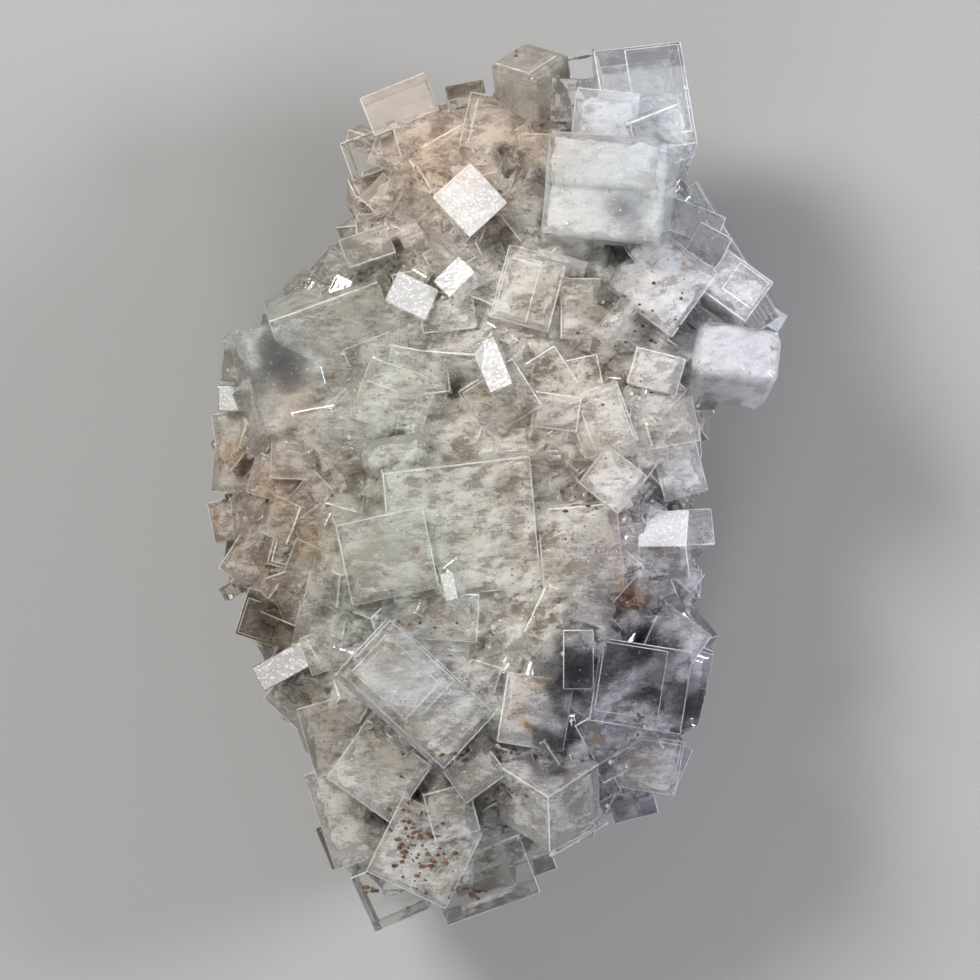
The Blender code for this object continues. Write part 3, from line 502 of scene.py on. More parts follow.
def facetBlocks(blocks):
    # small tilted crystals that fill the valleys between the larger ones
    body = crustBody()
    for block in blocks:
        bmesh.ops.create_cube(body, size=1.0, matrix=block["place"] @ Matrix.Diagonal((*block["size"], 1.0)))
    tree = BVHTree.FromBMesh(body)
    body.free()
    dice = random.Random(facetStyle["seed"])
    chooser = random.Random(facetStyle["seed"] + 1)
    starts = []
    for count in range(facetStyle["faceCount"]):
        share = math.sqrt((count + 0.5) / facetStyle["faceCount"]) * facetStyle["faceReach"]
        place, slope = domePoint(count * goldenAngle % math.tau, share)
        starts.append((Vector((place.x, place.y, facetStyle["farAway"])), -up))
    for count in range(facetStyle["sideCount"]):
        angle = count * goldenAngle % math.tau
        outward = Vector((math.cos(angle), math.sin(angle), 0.0))
        height = dice.uniform(*facetStyle["sideHeight"])
        starts.append((rockForm["middle"] + outward * facetStyle["farAway"] + up * height, -outward))
    facets = []
    for start, toward in starts:
        hit, valley = reliefAt(tree, start, toward)
        if hit is None or valley < facetStyle["valley"]:
            continue
        if any((hit - facet["foot"]).length < facetStyle["apart"] for facet in facets):
            continue
        size = min(facetStyle["size"][1], facetStyle["size"][0] + dice.uniform(0.4, 1.3) * valley)
        lean = math.radians(dice.uniform(*facetStyle["lean"]))
        facing = toward.to_track_quat("-Z", "Y").to_matrix().to_4x4()
        turn = withoutGlint(facing @ faceTurn(dice.uniform(0.0, math.pi / 2), lean, dice.uniform(0.0, math.tau)))
        middle = hit - toward * (0.75 * min(valley, facetStyle["deepest"]) - 0.52 * size)
        facets.append({
            "name": "facet", "size": (size, size * dice.uniform(0.75, 1.2), size * dice.uniform(0.8, 1.2)),
            "place": Matrix.Translation(middle) @ turn, "look": lookAround(hit, chooser), "foot": hit,
        })
    print("crystals:", len(facets), "small ones in the valleys")
    return facets


def crustBody(shrink=0.0):
    # the lump that all the crystals grow out of, ring above ring
    dice = random.Random(crustForm["seed"])
    steps = len(rockForm["reachMm"])
    bm = newBody()
    rings = []
    for layer, (share, height) in enumerate(crustForm["rings"]):
        ring = []
        for step in range(steps):
            angle = math.tau * step / steps
            rough = dice.uniform(-crustForm["roughness"], crustForm["roughness"]) if layer else 0.0
            lift = dice.uniform(-crustForm["roughness"], crustForm["roughness"]) if layer else 0.0
            reach = (reachAt(angle) + rockForm["crustOverhang"] - shrink) * share + rough
            level = height * crustForm["top"] + lift - shrink * (1.0 if layer > 1 else -1.0)
            flat = Vector((reach * math.cos(angle), reach * math.sin(angle), level))
            ring.append(bm.verts.new(rockForm["middle"] + flat))
        rings.append(ring)
    for lower, upper in zip(rings, rings[1:]):
        for step in range(steps):
            after = (step + 1) % steps
            bm.faces.new((lower[step], lower[after], upper[after], upper[step]))
    bm.faces.new(list(reversed(rings[0])))
    tip = bm.verts.new(rockForm["middle"] + up * (crustForm["top"] - shrink))
    for step in range(steps):
        bm.faces.new((rings[-1][step], rings[-1][(step + 1) % steps], tip))
    bmesh.ops.triangulate(bm, faces=[face for face in bm.faces if len(face.verts) == 4])
    return bm


def bakeMesh(piece):
    # turns the live modifiers into a plain mesh
    graph = bpy.context.evaluated_depsgraph_get()
    baked = bpy.data.meshes.new_from_object(piece.evaluated_get(graph))
    piece.modifiers.clear()
    piece.data = baked


def largestSkin(mesh):
    # drops the tiny hollows that the blocks close in between them
    bm = bmesh.new()
    bm.from_mesh(mesh)
    waiting = set(bm.faces)
    skins = []
    while waiting:
        front = [waiting.pop()]
        skin = []
        while front:
            face = front.pop()
            skin.append(face)
            for edge in face.edges:
                for other in edge.link_faces:
                    if other in waiting:
                        waiting.remove(other)
                        front.append(other)
        skins.append(skin)
    skins.sort(key=len)
    for skin in skins[:-1]:
        bmesh.ops.delete(bm, geom=skin, context="FACES")
    bm.to_mesh(mesh)
    bm.free()


def tintAt(place):
    # the tint zones fade into each other
    total = 0.0
    tint = Vector((0.0, 0.0, 0.0))
    for name, x, y, reach, colour in tintZones:
        gap = ((place.x / mm - x) ** 2 + (place.y / mm - y) ** 2) / reach ** 2
        weight = math.exp(-1.6 * gap) + 1e-6
        tint += Vector(colour) * weight
        total += weight
    return tint / total


def paintTint(mesh, marksShadeAndGlowShare=0.0):
    # the body tint, with some or all of the marks, painted shade and painted glow over it
    layer = mesh.color_attributes.new("bodyTint", "FLOAT_COLOR", "POINT")
    for vert, entry in zip(mesh.vertices, layer.data):
        tint = tintAt(vert.co)
        entry.color = (*tint.lerp(marksShadeAndGlowAt(vert.co, tint), marksShadeAndGlowShare), 1.0)


def closeness(place, x, y, reach):
    gap = ((place.x / mm - x) ** 2 + (place.y / mm - y) ** 2) / reach ** 2
    return math.exp(-gap)


def marksShadeAndGlowAt(place, colour):
    # each zone lays its colour over the tint: real marks, painted shade and painted glow alike
    for name, x, y, reach, strength, markShadeGlow in marksShadeAndGlowZones:
        share = strength * closeness(place, x, y, reach)
        colour = colour.lerp(Vector(markShadeGlow), share)
    return colour


def calmAt(place):
    return max(closeness(place, x, y, reach) for name, x, y, reach in calmZones)


def paintCalm(mesh):
    layer = mesh.attributes.new("calm", "FLOAT", "POINT")
    for vert, entry in zip(mesh.vertices, layer.data):
        entry.value = calmAt(vert.co)


def makeCrystals():
    print("crystals: growing the blocks together")
    blocks = newBody()
    for block in crystalBlocks:
        addBlock(
            blocks, block["size"], block["place"], block["look"], block.get("faceLook"), block.get("bevel"),
            blockStyle["frostSides"].get(block["name"]))
    cutter = newPiece("blocks", blocks)
    piece = newPiece("fluoriteCrust", crustBody())
    for look in looks:
        piece.data.materials.append(fluorites[look])
        cutter.data.materials.append(fluorites[look])
    join = piece.modifiers.new("join", "BOOLEAN")
    join.operation = "UNION"
    join.solver = "EXACT"
    join.use_self = True
    join.object = cutter
    bakeMesh(piece)
    bpy.data.objects.remove(cutter, do_unlink=True)
    largestSkin(piece.data)
    paintTint(piece.data, 0.7)
    return piece


def newTree(kind, name, inputs, outputs):
    tree = bpy.data.node_groups.new(name, kind)
    for label, socketKind, value in inputs:
        socket = tree.interface.new_socket(name=label, in_out="INPUT", socket_type="NodeSocket" + socketKind)
        if value is not None:
            socket.default_value = value
    for label, socketKind in outputs:
        tree.interface.new_socket(name=label, in_out="OUTPUT", socket_type="NodeSocket" + socketKind)
    return tree, tree.nodes.new("NodeGroupInput").outputs, tree.nodes.new("NodeGroupOutput")


def feed(tree, node, values):
    # sockets are linked in, and plain values are set
    for key, value in values.items():
        if isinstance(value, bpy.types.NodeSocket):
            tree.links.new(value, node.inputs[key])
        else:
            node.inputs[key].default_value = value
    return node


def addNode(tree, kind, values=None, **settings):
    node = tree.nodes.new(kind)
    for key, value in settings.items():
        setattr(node, key, value)
    return feed(tree, node, values or {})


def mathNode(tree, operation, *values):
    return addNode(tree, "ShaderNodeMath", dict(enumerate(values)), operation=operation).outputs[0]


def ramp(tree, value, low, high, fromValue=0.0, toValue=1.0):
    # a soft step between two values
    return addNode(tree, "ShaderNodeMapRange", {
        "Value": value, "From Min": low, "From Max": high, "To Min": fromValue, "To Max": toValue,
    }, interpolation_type="SMOOTHSTEP").outputs["Result"]


def mixColour(tree, factor, first, second):
    return addNode(tree, "ShaderNodeMix", {0: factor, 6: first, 7: second}, data_type="RGBA").outputs[2]


def scaleColour(tree, colour, factor):
    return addNode(tree, "ShaderNodeVectorMath", {0: colour, "Scale": factor}, operation="SCALE").outputs[0]


def noiseNode(tree, vector, scale, detail=3.0, roughness=0.55, distortion=0.0):
    return addNode(tree, "ShaderNodeTexNoise", {
        "Vector": vector, "Scale": scale, "Detail": detail, "Roughness": roughness, "Distortion": distortion,
    }).outputs["Fac"]


def cellNode(tree, vector, scale):
    # round cells, each with two chances of its own
    cells = addNode(tree, "ShaderNodeTexVoronoi", {"Vector": vector, "Scale": scale}, feature="F1")
    chances = addNode(tree, "ShaderNodeSeparateColor", {0: cells.outputs["Color"]}).outputs
    return cells.outputs["Distance"], chances[0], chances[1]


def attributeNode(tree, name, output="Fac"):
    return addNode(tree, "ShaderNodeAttribute", attribute_name=name).outputs[output]


def uvNode(tree, name):
    return addNode(tree, "ShaderNodeUVMap", uv_map=name).outputs["UV"]


def objectPlace(tree):
    return tree.nodes.new("ShaderNodeTexCoord").outputs["Object"]


def bumpNode(tree, height, strength, distance):
    return addNode(tree, "ShaderNodeBump", {
        "Height": height, "Strength": strength, "Distance": distance,
    }).outputs["Normal"]


def newMaterial(name):
    material = bpy.data.materials.new(name)
    material.use_nodes = True
    tree = material.node_tree
    return material, tree, tree.nodes["Principled BSDF"]


groups = {}


def placeGroup(tree, name, **values):
    return addNode(tree, "ShaderNodeGroup", values, node_tree=groups[name]).outputs


flakeStyle = {
    "turn": math.radians(27.0), "stretch": (560.0, 1500.0, 800.0), "roughness": 0.74, "crumbScale": 3200.0,
}


def makeFlakeGroup():
    # short crumbly flakes that rise to the right, with crumbs over them
    tree, source, target = newTree("ShaderNodeTree", "crumblyFlakes", [
        ("Vector", "Vector", None), ("Crumbs", "Float", 0.3),
    ], [("Detail", "Float")])
    lay = addNode(tree, "ShaderNodeMapping", {
        "Vector": source["Vector"], "Rotation": (0.0, 0.0, -flakeStyle["turn"]), "Scale": flakeStyle["stretch"],
    }, vector_type="POINT")
    fine = noiseNode(tree, lay.outputs[0], 1.0, 2.0, flakeStyle["roughness"])
    crumbs = noiseNode(tree, source["Vector"], flakeStyle["crumbScale"], 1.0, 0.7)
    rest = mathNode(tree, "SUBTRACT", 1.0, source["Crumbs"])
    detail = mathNode(tree, "MULTIPLY_ADD", fine, rest, mathNode(tree, "MULTIPLY", crumbs, source["Crumbs"]))
    feed(tree, target, {"Detail": detail})
    return tree


def makeCloudGroup():
    # milky haze in lighter and darker patches, warm in places, with pale wisps
    tree, source, target = newTree("ShaderNodeTree", "cloudyZones", [
        ("Vector", "Vector", None), ("Tint", "Color", (0.8, 0.8, 0.8, 1.0)), ("Dark", "Color", hazeColours["dark"]),
        ("Warm", "Color", hazeColours["warm"]), ("Tone", "Float", 0.5), ("Amount", "Float", 0.6),
        ("Warmth", "Float", 0.4),
    ], [("Colour", "Color"), ("Haze", "Float")])
    broad = noiseNode(tree, source["Vector"], 150.0, 1.0, 0.6)
    flakes = placeGroup(tree, "flakes", Vector=source["Vector"], Crumbs=0.35)["Detail"]
    tone = mathNode(tree, "MULTIPLY_ADD", broad, 0.4, mathNode(tree, "MULTIPLY", flakes, 0.6))
    shift = mathNode(tree, "MULTIPLY_ADD", source["Tone"], 0.16, -0.08)
    haze = ramp(tree, mathNode(tree, "ADD", tone, shift), 0.43, 0.56)
    shade = mathNode(tree, "MULTIPLY", mathNode(tree, "SUBTRACT", 1.0, haze), source["Amount"])
    colour = mixColour(tree, shade, source["Tint"], source["Dark"])
    warm = ramp(tree, mathNode(tree, "SUBTRACT", mathNode(tree, "MULTIPLY", flakes, 1.4), broad), 0.20, 0.34)
    colour = mixColour(tree, mathNode(tree, "MULTIPLY", warm, source["Warmth"]), colour, source["Warm"])
    colour = mixColour(tree, ramp(tree, flakes, 0.58, 0.66, 0.0, 0.6), colour, hazeColours["wisp"])
    feed(tree, target, {"Colour": colour, "Haze": haze})
    return tree


def makeFractureGroup():
    # fine nearly straight cracks that break off and start again
    tree, source, target = newTree("ShaderNodeTree", "fractures", [
        ("Vector", "Vector", None), ("Width", "Float", 0.008),
    ], [("Lines", "Float")])
    lay = addNode(tree, "ShaderNodeMapping", {
        "Vector": source["Vector"], "Rotation": (0.3, 0.5, 0.9), "Scale": (90.0, 420.0, 260.0),
    }, vector_type="POINT")
    gap = mathNode(tree, "ABSOLUTE", mathNode(tree, "SUBTRACT", noiseNode(tree, lay.outputs[0], 1.0, 0.0), 0.5))
    feed(tree, target, {"Lines": ramp(tree, mathNode(tree, "DIVIDE", gap, source["Width"]), 0.3, 1.0, 1.0, 0.0)})
    return tree


def makeSpeckGroup():
    # dark specks, and white specks that are painted glints
    tree, source, target = newTree("ShaderNodeTree", "specks", [
        ("Vector", "Vector", None), ("Scale", "Float", 1500.0),
    ], [("Dark", "Float"), ("PaintedGlint", "Float")])
    distance, darkChance, whiteChance = cellNode(tree, source["Vector"], source["Scale"])
    dots = ramp(tree, distance, 0.16, 0.28, 1.0, 0.0)
    feed(tree, target, {
        "Dark": mathNode(tree, "MULTIPLY", dots, ramp(tree, darkChance, 0.84, 0.86)),
        "PaintedGlint": mathNode(tree, "MULTIPLY", dots, ramp(tree, whiteChance, 0.80, 0.82)),
    })
    return tree


def makeStainGroup():
    # rust that sits in small patches and specks
    tree, source, target = newTree("ShaderNodeTree", "ironStain", [
        ("Vector", "Vector", None), ("Colour", "Color", (1.0, 1.0, 1.0, 1.0)),
        ("Rust", "Color", (0.38, 0.2, 0.06, 1.0)), ("Amount", "Float", 0.2),
    ], [("Colour", "Color")])
    low = mathNode(tree, "MULTIPLY_ADD", source["Amount"], -0.5, 0.78)
    patches = noiseNode(tree, source["Vector"], 420.0, 2.0, 0.7)
    mask = ramp(tree, mathNode(tree, "SUBTRACT", patches, low), 0.0, 0.1)
    feed(tree, target, {"Colour": mixColour(tree, mask, source["Colour"], source["Rust"])})
    return tree


def makeGrowthGroup():
    # fine steps and lines that run along a face's edges, and the edge itself
    tree, source, target = newTree("ShaderNodeTree", "growthLines", [
        ("Near", "Vector", None), ("Far", "Vector", None), ("Terrace", "Vector", (2.3, 1.7, 1.0)),
    ], [("Height", "Float"), ("Edge", "Float")])
    sides = []
    for name in ("Near", "Far"):
        reach = addNode(tree, "ShaderNodeSeparateXYZ", {0: source[name]}).outputs
        sides.append(mathNode(tree, "MINIMUM", reach[0], reach[1]))
    gap = mathNode(tree, "MINIMUM", *sides)
    snap = addNode(tree, "ShaderNodeVectorMath", {0: source["Near"], 1: source["Terrace"]}, operation="SNAP")
    steps = addNode(tree, "ShaderNodeTexWhiteNoise", {"Vector": snap.outputs[0]}, noise_dimensions="3D")
    lines = mathNode(tree, "SINE", mathNode(tree, "MULTIPLY", gap, 9.0))
    lines = mathNode(tree, "MULTIPLY", lines, ramp(tree, gap, 0.2, 2.6, 0.25, 0.0))
    feed(tree, target, {
        "Height": mathNode(tree, "MULTIPLY_ADD", steps.outputs["Value"], 0.4, lines),
        "Edge": ramp(tree, gap, 0.05, 0.4, 1.0, 0.0),
    })
    return tree


def makeGrainGroup():
    # etched, sugary surface; the frost paints its Sparkle grains white as painted glints
    tree, source, target = newTree("ShaderNodeTree", "etchedGrain", [
        ("Vector", "Vector", None), ("Scale", "Float", 3500.0),
    ], [("Height", "Float"), ("Sparkle", "Float")])
    distance, chance, otherChance = cellNode(tree, source["Vector"], source["Scale"])
    soft = noiseNode(tree, source["Vector"], 700.0, 2.0, 0.6)
    feed(tree, target, {
        "Height": mathNode(tree, "ADD", mathNode(tree, "MULTIPLY", distance, 0.7), soft),
        "Sparkle": ramp(tree, chance, 0.6, 0.95),
    })
    return tree


# painted shade: where the clear crystals are painted darkest, for the darkness seen through their clearest parts;
# middle (x, y, mm), reach (mm) and strength
paintedShadeSpots = [
    (-27.0, 15.0, 3.9, 0.66), (-25.2, 16.8, 2.6, 0.5), (15.6, 34.2, 2.4, 0.35), (10.0, -22.8, 3.6, 0.95),
    (17.6, -20.8, 4.0, 0.95), (7.4, -31.8, 2.8, 0.85), (24.2, -26.8, 3.4, 0.9), (-28.9, -16.9, 3.2, 0.55),
]
paintedShadeStyle = {"wobble": 9.0 * mm, "inner": 0.55, "outer": 1.4, "dark": 0.16}


def makePaintedShadeGroup():
    # painted shade: dark patches painted into the clear crystals, with uneven rims
    tree, source, target = newTree("ShaderNodeTree", "paintedShadeWindows", [("Vector", "Vector", None)], [("Shade", "Float")])
    flat = addNode(tree, "ShaderNodeVectorMath", {0: source["Vector"], 1: (1.0, 1.0, 0.0)}, operation="MULTIPLY")
    wobble = noiseNode(tree, source["Vector"], 330.0, 0.0)
    wobble = mathNode(tree, "MULTIPLY_ADD", wobble, paintedShadeStyle["wobble"], -0.5 * paintedShadeStyle["wobble"])
    shade = None
    for x, y, reach, strength in paintedShadeSpots:
        middle = (x * mm, y * mm, 0.0)
        gap = addNode(tree, "ShaderNodeVectorMath", {0: flat.outputs[0], 1: middle}, operation="DISTANCE")
        near = mathNode(tree, "ADD", gap.outputs["Value"], wobble)
        inner, outer = reach * paintedShadeStyle["inner"] * mm, reach * paintedShadeStyle["outer"] * mm
        patch = ramp(tree, near, inner, outer, strength, 0.0)
        shade = patch if shade is None else mathNode(tree, "MAXIMUM", shade, patch)
    feed(tree, target, {"Shade": shade})
    return tree


# light brightens the body tint; haze is the depth of its darker patches; through is how much
# light passes; rough runs from the clear to the hazy patches; stain is how much rust it has
fluoriteLooks = {
    "milky": {"light": 1.12, "haze": 0.46, "warmth": 0.16, "through": 0.80, "rough": (0.0, 0.05)},
    "green": {"light": 1.05, "haze": 0.52, "warmth": 0.22, "through": 0.84, "rough": (0.0, 0.04)},
    "clear": {"light": 1.30, "haze": 0.22, "warmth": 0.0, "through": 0.96, "rough": (0.0, 0.03), "paintedShadeWindows": True},
    "lilac": {
        "light": 1.12, "haze": 0.42, "warmth": 0.04, "through": 0.80, "rough": (0.0, 0.06), "stain": 0.05,
        "paintedShadeWindows": True,
    },
    "amber": {"light": 1.12, "haze": 0.42, "warmth": 0.25, "through": 0.82, "rough": (0.0, 0.05), "stain": 0.15},
    "brown": {
        "light": 1.05, "haze": 0.62, "warmth": 0.45, "through": 0.78, "rough": (0.0, 0.06), "stain": 0.35,
        "paintedShadeWindows": True,
    },
    # frost: etched faces, whiter and less clear, set where faces caught the light; partly painted highlight
    "frost": {"light": 1.12, "haze": 0.25, "warmth": 0.0, "through": 0.40, "rough": (0.08, 0.25)},
    "opal": {"light": 1.06, "haze": 0.20, "warmth": 0.0, "through": 0.80, "rough": (0.0, 0.08), "paintedShadeWindows": True},
    # edge: whitened bevels, partly chipped white edges and partly painted highlight
    "edge": {"light": 1.35, "haze": 0.45, "warmth": 0.0, "through": 0.52, "rough": (0.0, 0.15)},
}
# the crack white is also the white of painted glints on the frost and in the milky zones; the shade colour is the
# painted shade between the frost's glints
hazeColours = {
    "dark": (0.17, 0.15, 0.11, 1.0), "warm": (0.50, 0.35, 0.19, 1.0), "crackAndGlint": (0.97, 0.97, 0.96, 1.0),
    "speck": (0.11, 0.07, 0.035, 1.0), "shade": (0.34, 0.36, 0.41, 1.0), "wisp": (0.97, 0.96, 0.93, 1.0),
}
surfaceStyle = {"ior": 1.434, "etchScale": 1700.0, "etch": 1.6, "sugarScale": 5200.0, "bump": 0.6, "depth": 0.08 * mm}

groups["flakes"] = makeFlakeGroup()
groups["cloud"] = makeCloudGroup()
groups["fracture"] = makeFractureGroup()
groups["specks"] = makeSpeckGroup()
groups["stain"] = makeStainGroup()
groups["growth"] = makeGrowthGroup()
groups["grain"] = makeGrainGroup()
groups["paintedShadeWindows"] = makePaintedShadeGroup()


def makeFluorite(name, look):
    material, tree, shader = newMaterial("fluorite" + name.capitalize())
    place = objectPlace(tree)
    tones = addNode(tree, "ShaderNodeSeparateXYZ", {0: uvNode(tree, "faceTone")}).outputs
    tint = scaleColour(tree, attributeNode(tree, "bodyTint", "Color"), look["light"])
    cloud = placeGroup(
        tree, "cloud", Vector=place, Tone=tones[1], Tint=tint, Amount=look["haze"], Warmth=look["warmth"])
    colour = cloud["Colour"]
    if "stain" in look:
        colour = placeGroup(tree, "stain", Vector=place, Colour=colour, Amount=look["stain"])["Colour"]
    if name != "edge":
        cracks = mathNode(tree, "MULTIPLY", placeGroup(tree, "fracture", Vector=place)["Lines"], 0.6)
        colour = mixColour(tree, cracks, colour, hazeColours["crackAndGlint"])
    growth = placeGroup(tree, "growth", Near=uvNode(tree, "faceNear"), Far=uvNode(tree, "faceFar"))
    height = mathNode(tree, "MULTIPLY", growth["Height"], 0.5)
    if name == "frost":
        # painted glints: scattered grains painted white, with grey-blue painted shade between them
        sparkle = placeGroup(tree, "grain", Vector=place, Scale=surfaceStyle["sugarScale"])["Sparkle"]
        colour = mixColour(tree, ramp(tree, sparkle, 0.0, 1.0, 0.34, 0.0), colour, hazeColours["shade"])
        colour = mixColour(tree, ramp(tree, sparkle, 0.5, 1.0, 0.0, 0.8), colour, hazeColours["crackAndGlint"])
        etched = placeGroup(tree, "grain", Vector=place, Scale=surfaceStyle["etchScale"])["Height"]
        height = mathNode(tree, "MULTIPLY_ADD", etched, surfaceStyle["etch"], height)
    # painted shade: the crystal's colour is darkened in patches for the darkness seen through it
    if "paintedShadeWindows" in look:
        paintedShadeMask = placeGroup(tree, "paintedShadeWindows", Vector=place)["Shade"]
        colour = mixColour(tree, paintedShadeMask, colour, scaleColour(tree, colour, paintedShadeStyle["dark"]))
    low, high = look["rough"]
    feed(tree, shader, {
        "Base Color": colour, "Roughness": mathNode(tree, "MULTIPLY_ADD", cloud["Haze"], high - low, low),
        "Normal": bumpNode(tree, height, surfaceStyle["bump"], surfaceStyle["depth"]),
        "Transmission Weight": look["through"], "IOR": surfaceStyle["ior"],
    })
    return material


fluorites = {name: makeFluorite(name, look) for name, look in fluoriteLooks.items()}

crystalBlocks = largeCrystals() + smallBlocks()
crystalBlocks += facetBlocks(crystalBlocks)
crust = makeCrystals()
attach(crust, "root")
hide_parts("fluorite_crystals")
print("crystals:", len(crust.data.polygons), "faces")


def ribShade(place):
    # how high a point is on the flakes, from 0 in a groove to 1 on a crest; the flakes are
    # short and uneven and rise to the right
    turn = flakeStyle["turn"]
    along = place.x * math.cos(turn) + place.y * math.sin(turn)
    across = -place.x * math.sin(turn) + place.y * math.cos(turn)
    bend = noise.noise(place * 150.0) * 1.6 * mm
    flake = Vector((along * 250.0, (across + bend) * 720.0, place.z * 300.0))
    rough = noise.noise(flake) + 0.5 * noise.noise(flake * 2.1) + 0.35 * noise.noise(place * 160.0)
    return min(1.0, max(0.0, 0.5 + 0.72 * rough))


def evenSkin(name, bm, voxel):
    # one even skin round all that the mesh holds, and that skin again to be shaped
    piece = newPiece(name, bm)
    remesh = piece.modifiers.new("remesh", "REMESH")
    remesh.mode = "VOXEL"
    remesh.voxel_size = voxel
    bakeMesh(piece)
    bm = bmesh.new()
    bm.from_mesh(piece.data)
    bm.normal_update()
    return piece, bm


def moveSkin(piece, bm, places):
    for vert, place in zip(bm.verts, places):
        vert.co = place
    bm.to_mesh(piece.data)
    bm.free()
    piece.data.shade_smooth()
    piece.data.materials.clear()
    return piece


# the crystals that are clear to their root
clearNames = {
    "tower", "towerFlank", "gable", "splint", "towerToe", "lobeRoof", "lobeWing", "lobeToe", "wedge",
}

# the cloudy growth zone just under the faces: crumbly flakes that rise to the right; the tower
# holds a milky core of its own
milkyStyle = {
    "inset": (0.3 * mm, 0.75 * mm), "voxel": 0.58 * mm, "flake": 0.8 * mm, "crumb": 0.5 * mm, "grain": 0.3 * mm,
    "shrink": 0.5 * mm, "thinnest": 0.3 * mm, "proud": 0.15 * mm, "seed": 53,
    "coreShift": (0.4 * mm, -2.6 * mm, -1.2 * mm), "coreSize": (9.0 * mm, 7.0 * mm, 12.0 * mm), "coreTone": 0.8,
    "groove": (0.27, 0.17, 0.08, 1.0), "crest": (1.0, 0.96, 0.87, 1.0),
}


def makeMilkyZones():
    print("milky zones: flakes under the faces")
    dice = random.Random(milkyStyle["seed"])
    toneDice = random.Random(milkyStyle["seed"] + 1)
    bm = crustBody(milkyStyle["shrink"])
    for layer in faceLayers:
        bm.loops.layers.uv.remove(bm.loops.layers.uv[layer])
    tones = [0.5] * len(bm.faces)
    for block in crystalBlocks:
        inset = dice.uniform(*milkyStyle["inset"])
        if block["name"] in clearNames or block["look"] == "clear" or block["name"] == "plate":
            continue
        size = [max(milkyStyle["thinnest"], side - 2.0 * inset) for side in block["size"]]
        bmesh.ops.create_cube(bm, size=1.0, matrix=block["place"] @ Matrix.Diagonal((*size, 1.0)))
        blockTone = toneDice.random()
        tones += [0.7 * blockTone + 0.3 * toneDice.random() for side in range(6)]
    tower = next(block for block in crystalBlocks if block["name"] == "tower")
    core = tower["place"] @ Matrix.Translation(milkyStyle["coreShift"])
    bmesh.ops.create_cube(bm, size=1.0, matrix=core @ Matrix.Diagonal((*milkyStyle["coreSize"], 1.0)))
    tones += [milkyStyle["coreTone"]] * 6
    bm.faces.index_update()
    tree = BVHTree.FromBMesh(bm)
    piece, bm = evenSkin("milkyZones", bm, milkyStyle["voxel"])
    shade = bm.verts.layers.float.new("flakeShade")
    tone = bm.verts.layers.float.new("crystalTone")
    places = []
    for vert in bm.verts:
        place = vert.co
        flake = ribShade(place)
        crumb = noise.noise(place * 520.0) + 0.5 * noise.noise(place * 1300.0)
        vert[tone] = tones[tree.find_nearest(place)[2]]
        vert[shade] = min(1.0, max(0.0, 0.62 * flake + 0.38 * (0.5 + 0.9 * crumb)))
        out = milkyStyle["flake"] * (flake - 0.75) + milkyStyle["crumb"] * (crumb - 0.4)
        out += milkyStyle["grain"] * noise.noise(place * 2600.0)
        out *= 1.0 - 0.75 * calmAt(place)
        places.append(place + vert.normal * min(out, milkyStyle["proud"]))
    return moveSkin(piece, bm, places)


def makeMilkyMaterial():
    material, tree, shader = newMaterial("milkyFluorite")
    place = objectPlace(tree)
    shade, tone, calm = [attributeNode(tree, name) for name in ("flakeShade", "crystalTone", "calm")]
    tint = attributeNode(tree, "bodyTint", "Color")
    tint = mixColour(tree, tone, scaleColour(tree, tint, 0.77), scaleColour(tree, tint, 1.20))
    detail = placeGroup(tree, "flakes", Vector=place, Crumbs=0.3)["Detail"]
    level = mathNode(tree, "MULTIPLY_ADD", detail, 0.85, mathNode(tree, "MULTIPLY", shade, 0.42))
    crest = mixColour(tree, 0.5, scaleColour(tree, tint, 1.12), milkyStyle["crest"])
    groove = mixColour(tree, 0.65, scaleColour(tree, tint, 0.35), milkyStyle["groove"])
    colour = mixColour(tree, ramp(tree, level, 0.50, 0.61), groove, scaleColour(tree, tint, 0.80))
    colour = mixColour(tree, ramp(tree, level, 0.61, 0.72), colour, crest)
    colour = mixColour(tree, mathNode(tree, "MULTIPLY", calm, 0.8), colour, scaleColour(tree, tint, 0.86))
    specks = placeGroup(tree, "specks", Vector=place)
    # painted glints: the white specks
    colour = mixColour(tree, mathNode(tree, "MULTIPLY", specks["PaintedGlint"], 0.9), colour, hazeColours["crackAndGlint"])
    darkShare = mathNode(tree, "SUBTRACT", 0.9, mathNode(tree, "MULTIPLY", calm, 0.75))
    colour = mixColour(tree, mathNode(tree, "MULTIPLY", specks["Dark"], darkShare), colour, hazeColours["speck"])
    feed(tree, shader, {
        "Base Color": placeGroup(tree, "stain", Vector=place, Colour=colour, Amount=0.28)["Colour"],
        "Roughness": ramp(tree, detail, 0.3, 0.7, 0.35, 0.7), "Normal": bumpNode(tree, detail, 1.0, 0.5 * mm),
    })
    return material


milky = makeMilkyZones()
milky.data.materials.append(makeMilkyMaterial())
paintCalm(milky.data)
paintTint(milky.data, 1.0)
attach(milky, "root")
print("milky zones:", len(milky.data.polygons), "faces")

# the milky cubes that each large crystal grew over, and the healed crack through it
phantomStyle = {
    "from": 6.2 * mm, "shares": (0.80, 0.56), "under": (0.9 * mm, 2.4 * mm), "drift": 0.07, "bevel": 0.1 * mm,
    "crackReach": 0.36, "crackSteps": 7, "crackThickness": 0.05 * mm, "crackDepth": 0.42, "seed": 87,
    "alpha": (0.03, 0.34), "edgeAlpha": 0.40, "colour": (0.90, 0.93, 0.90, 1.0), "roughness": 0.5,
    "edgeColour": (0.97, 0.98, 0.97, 1.0),
}


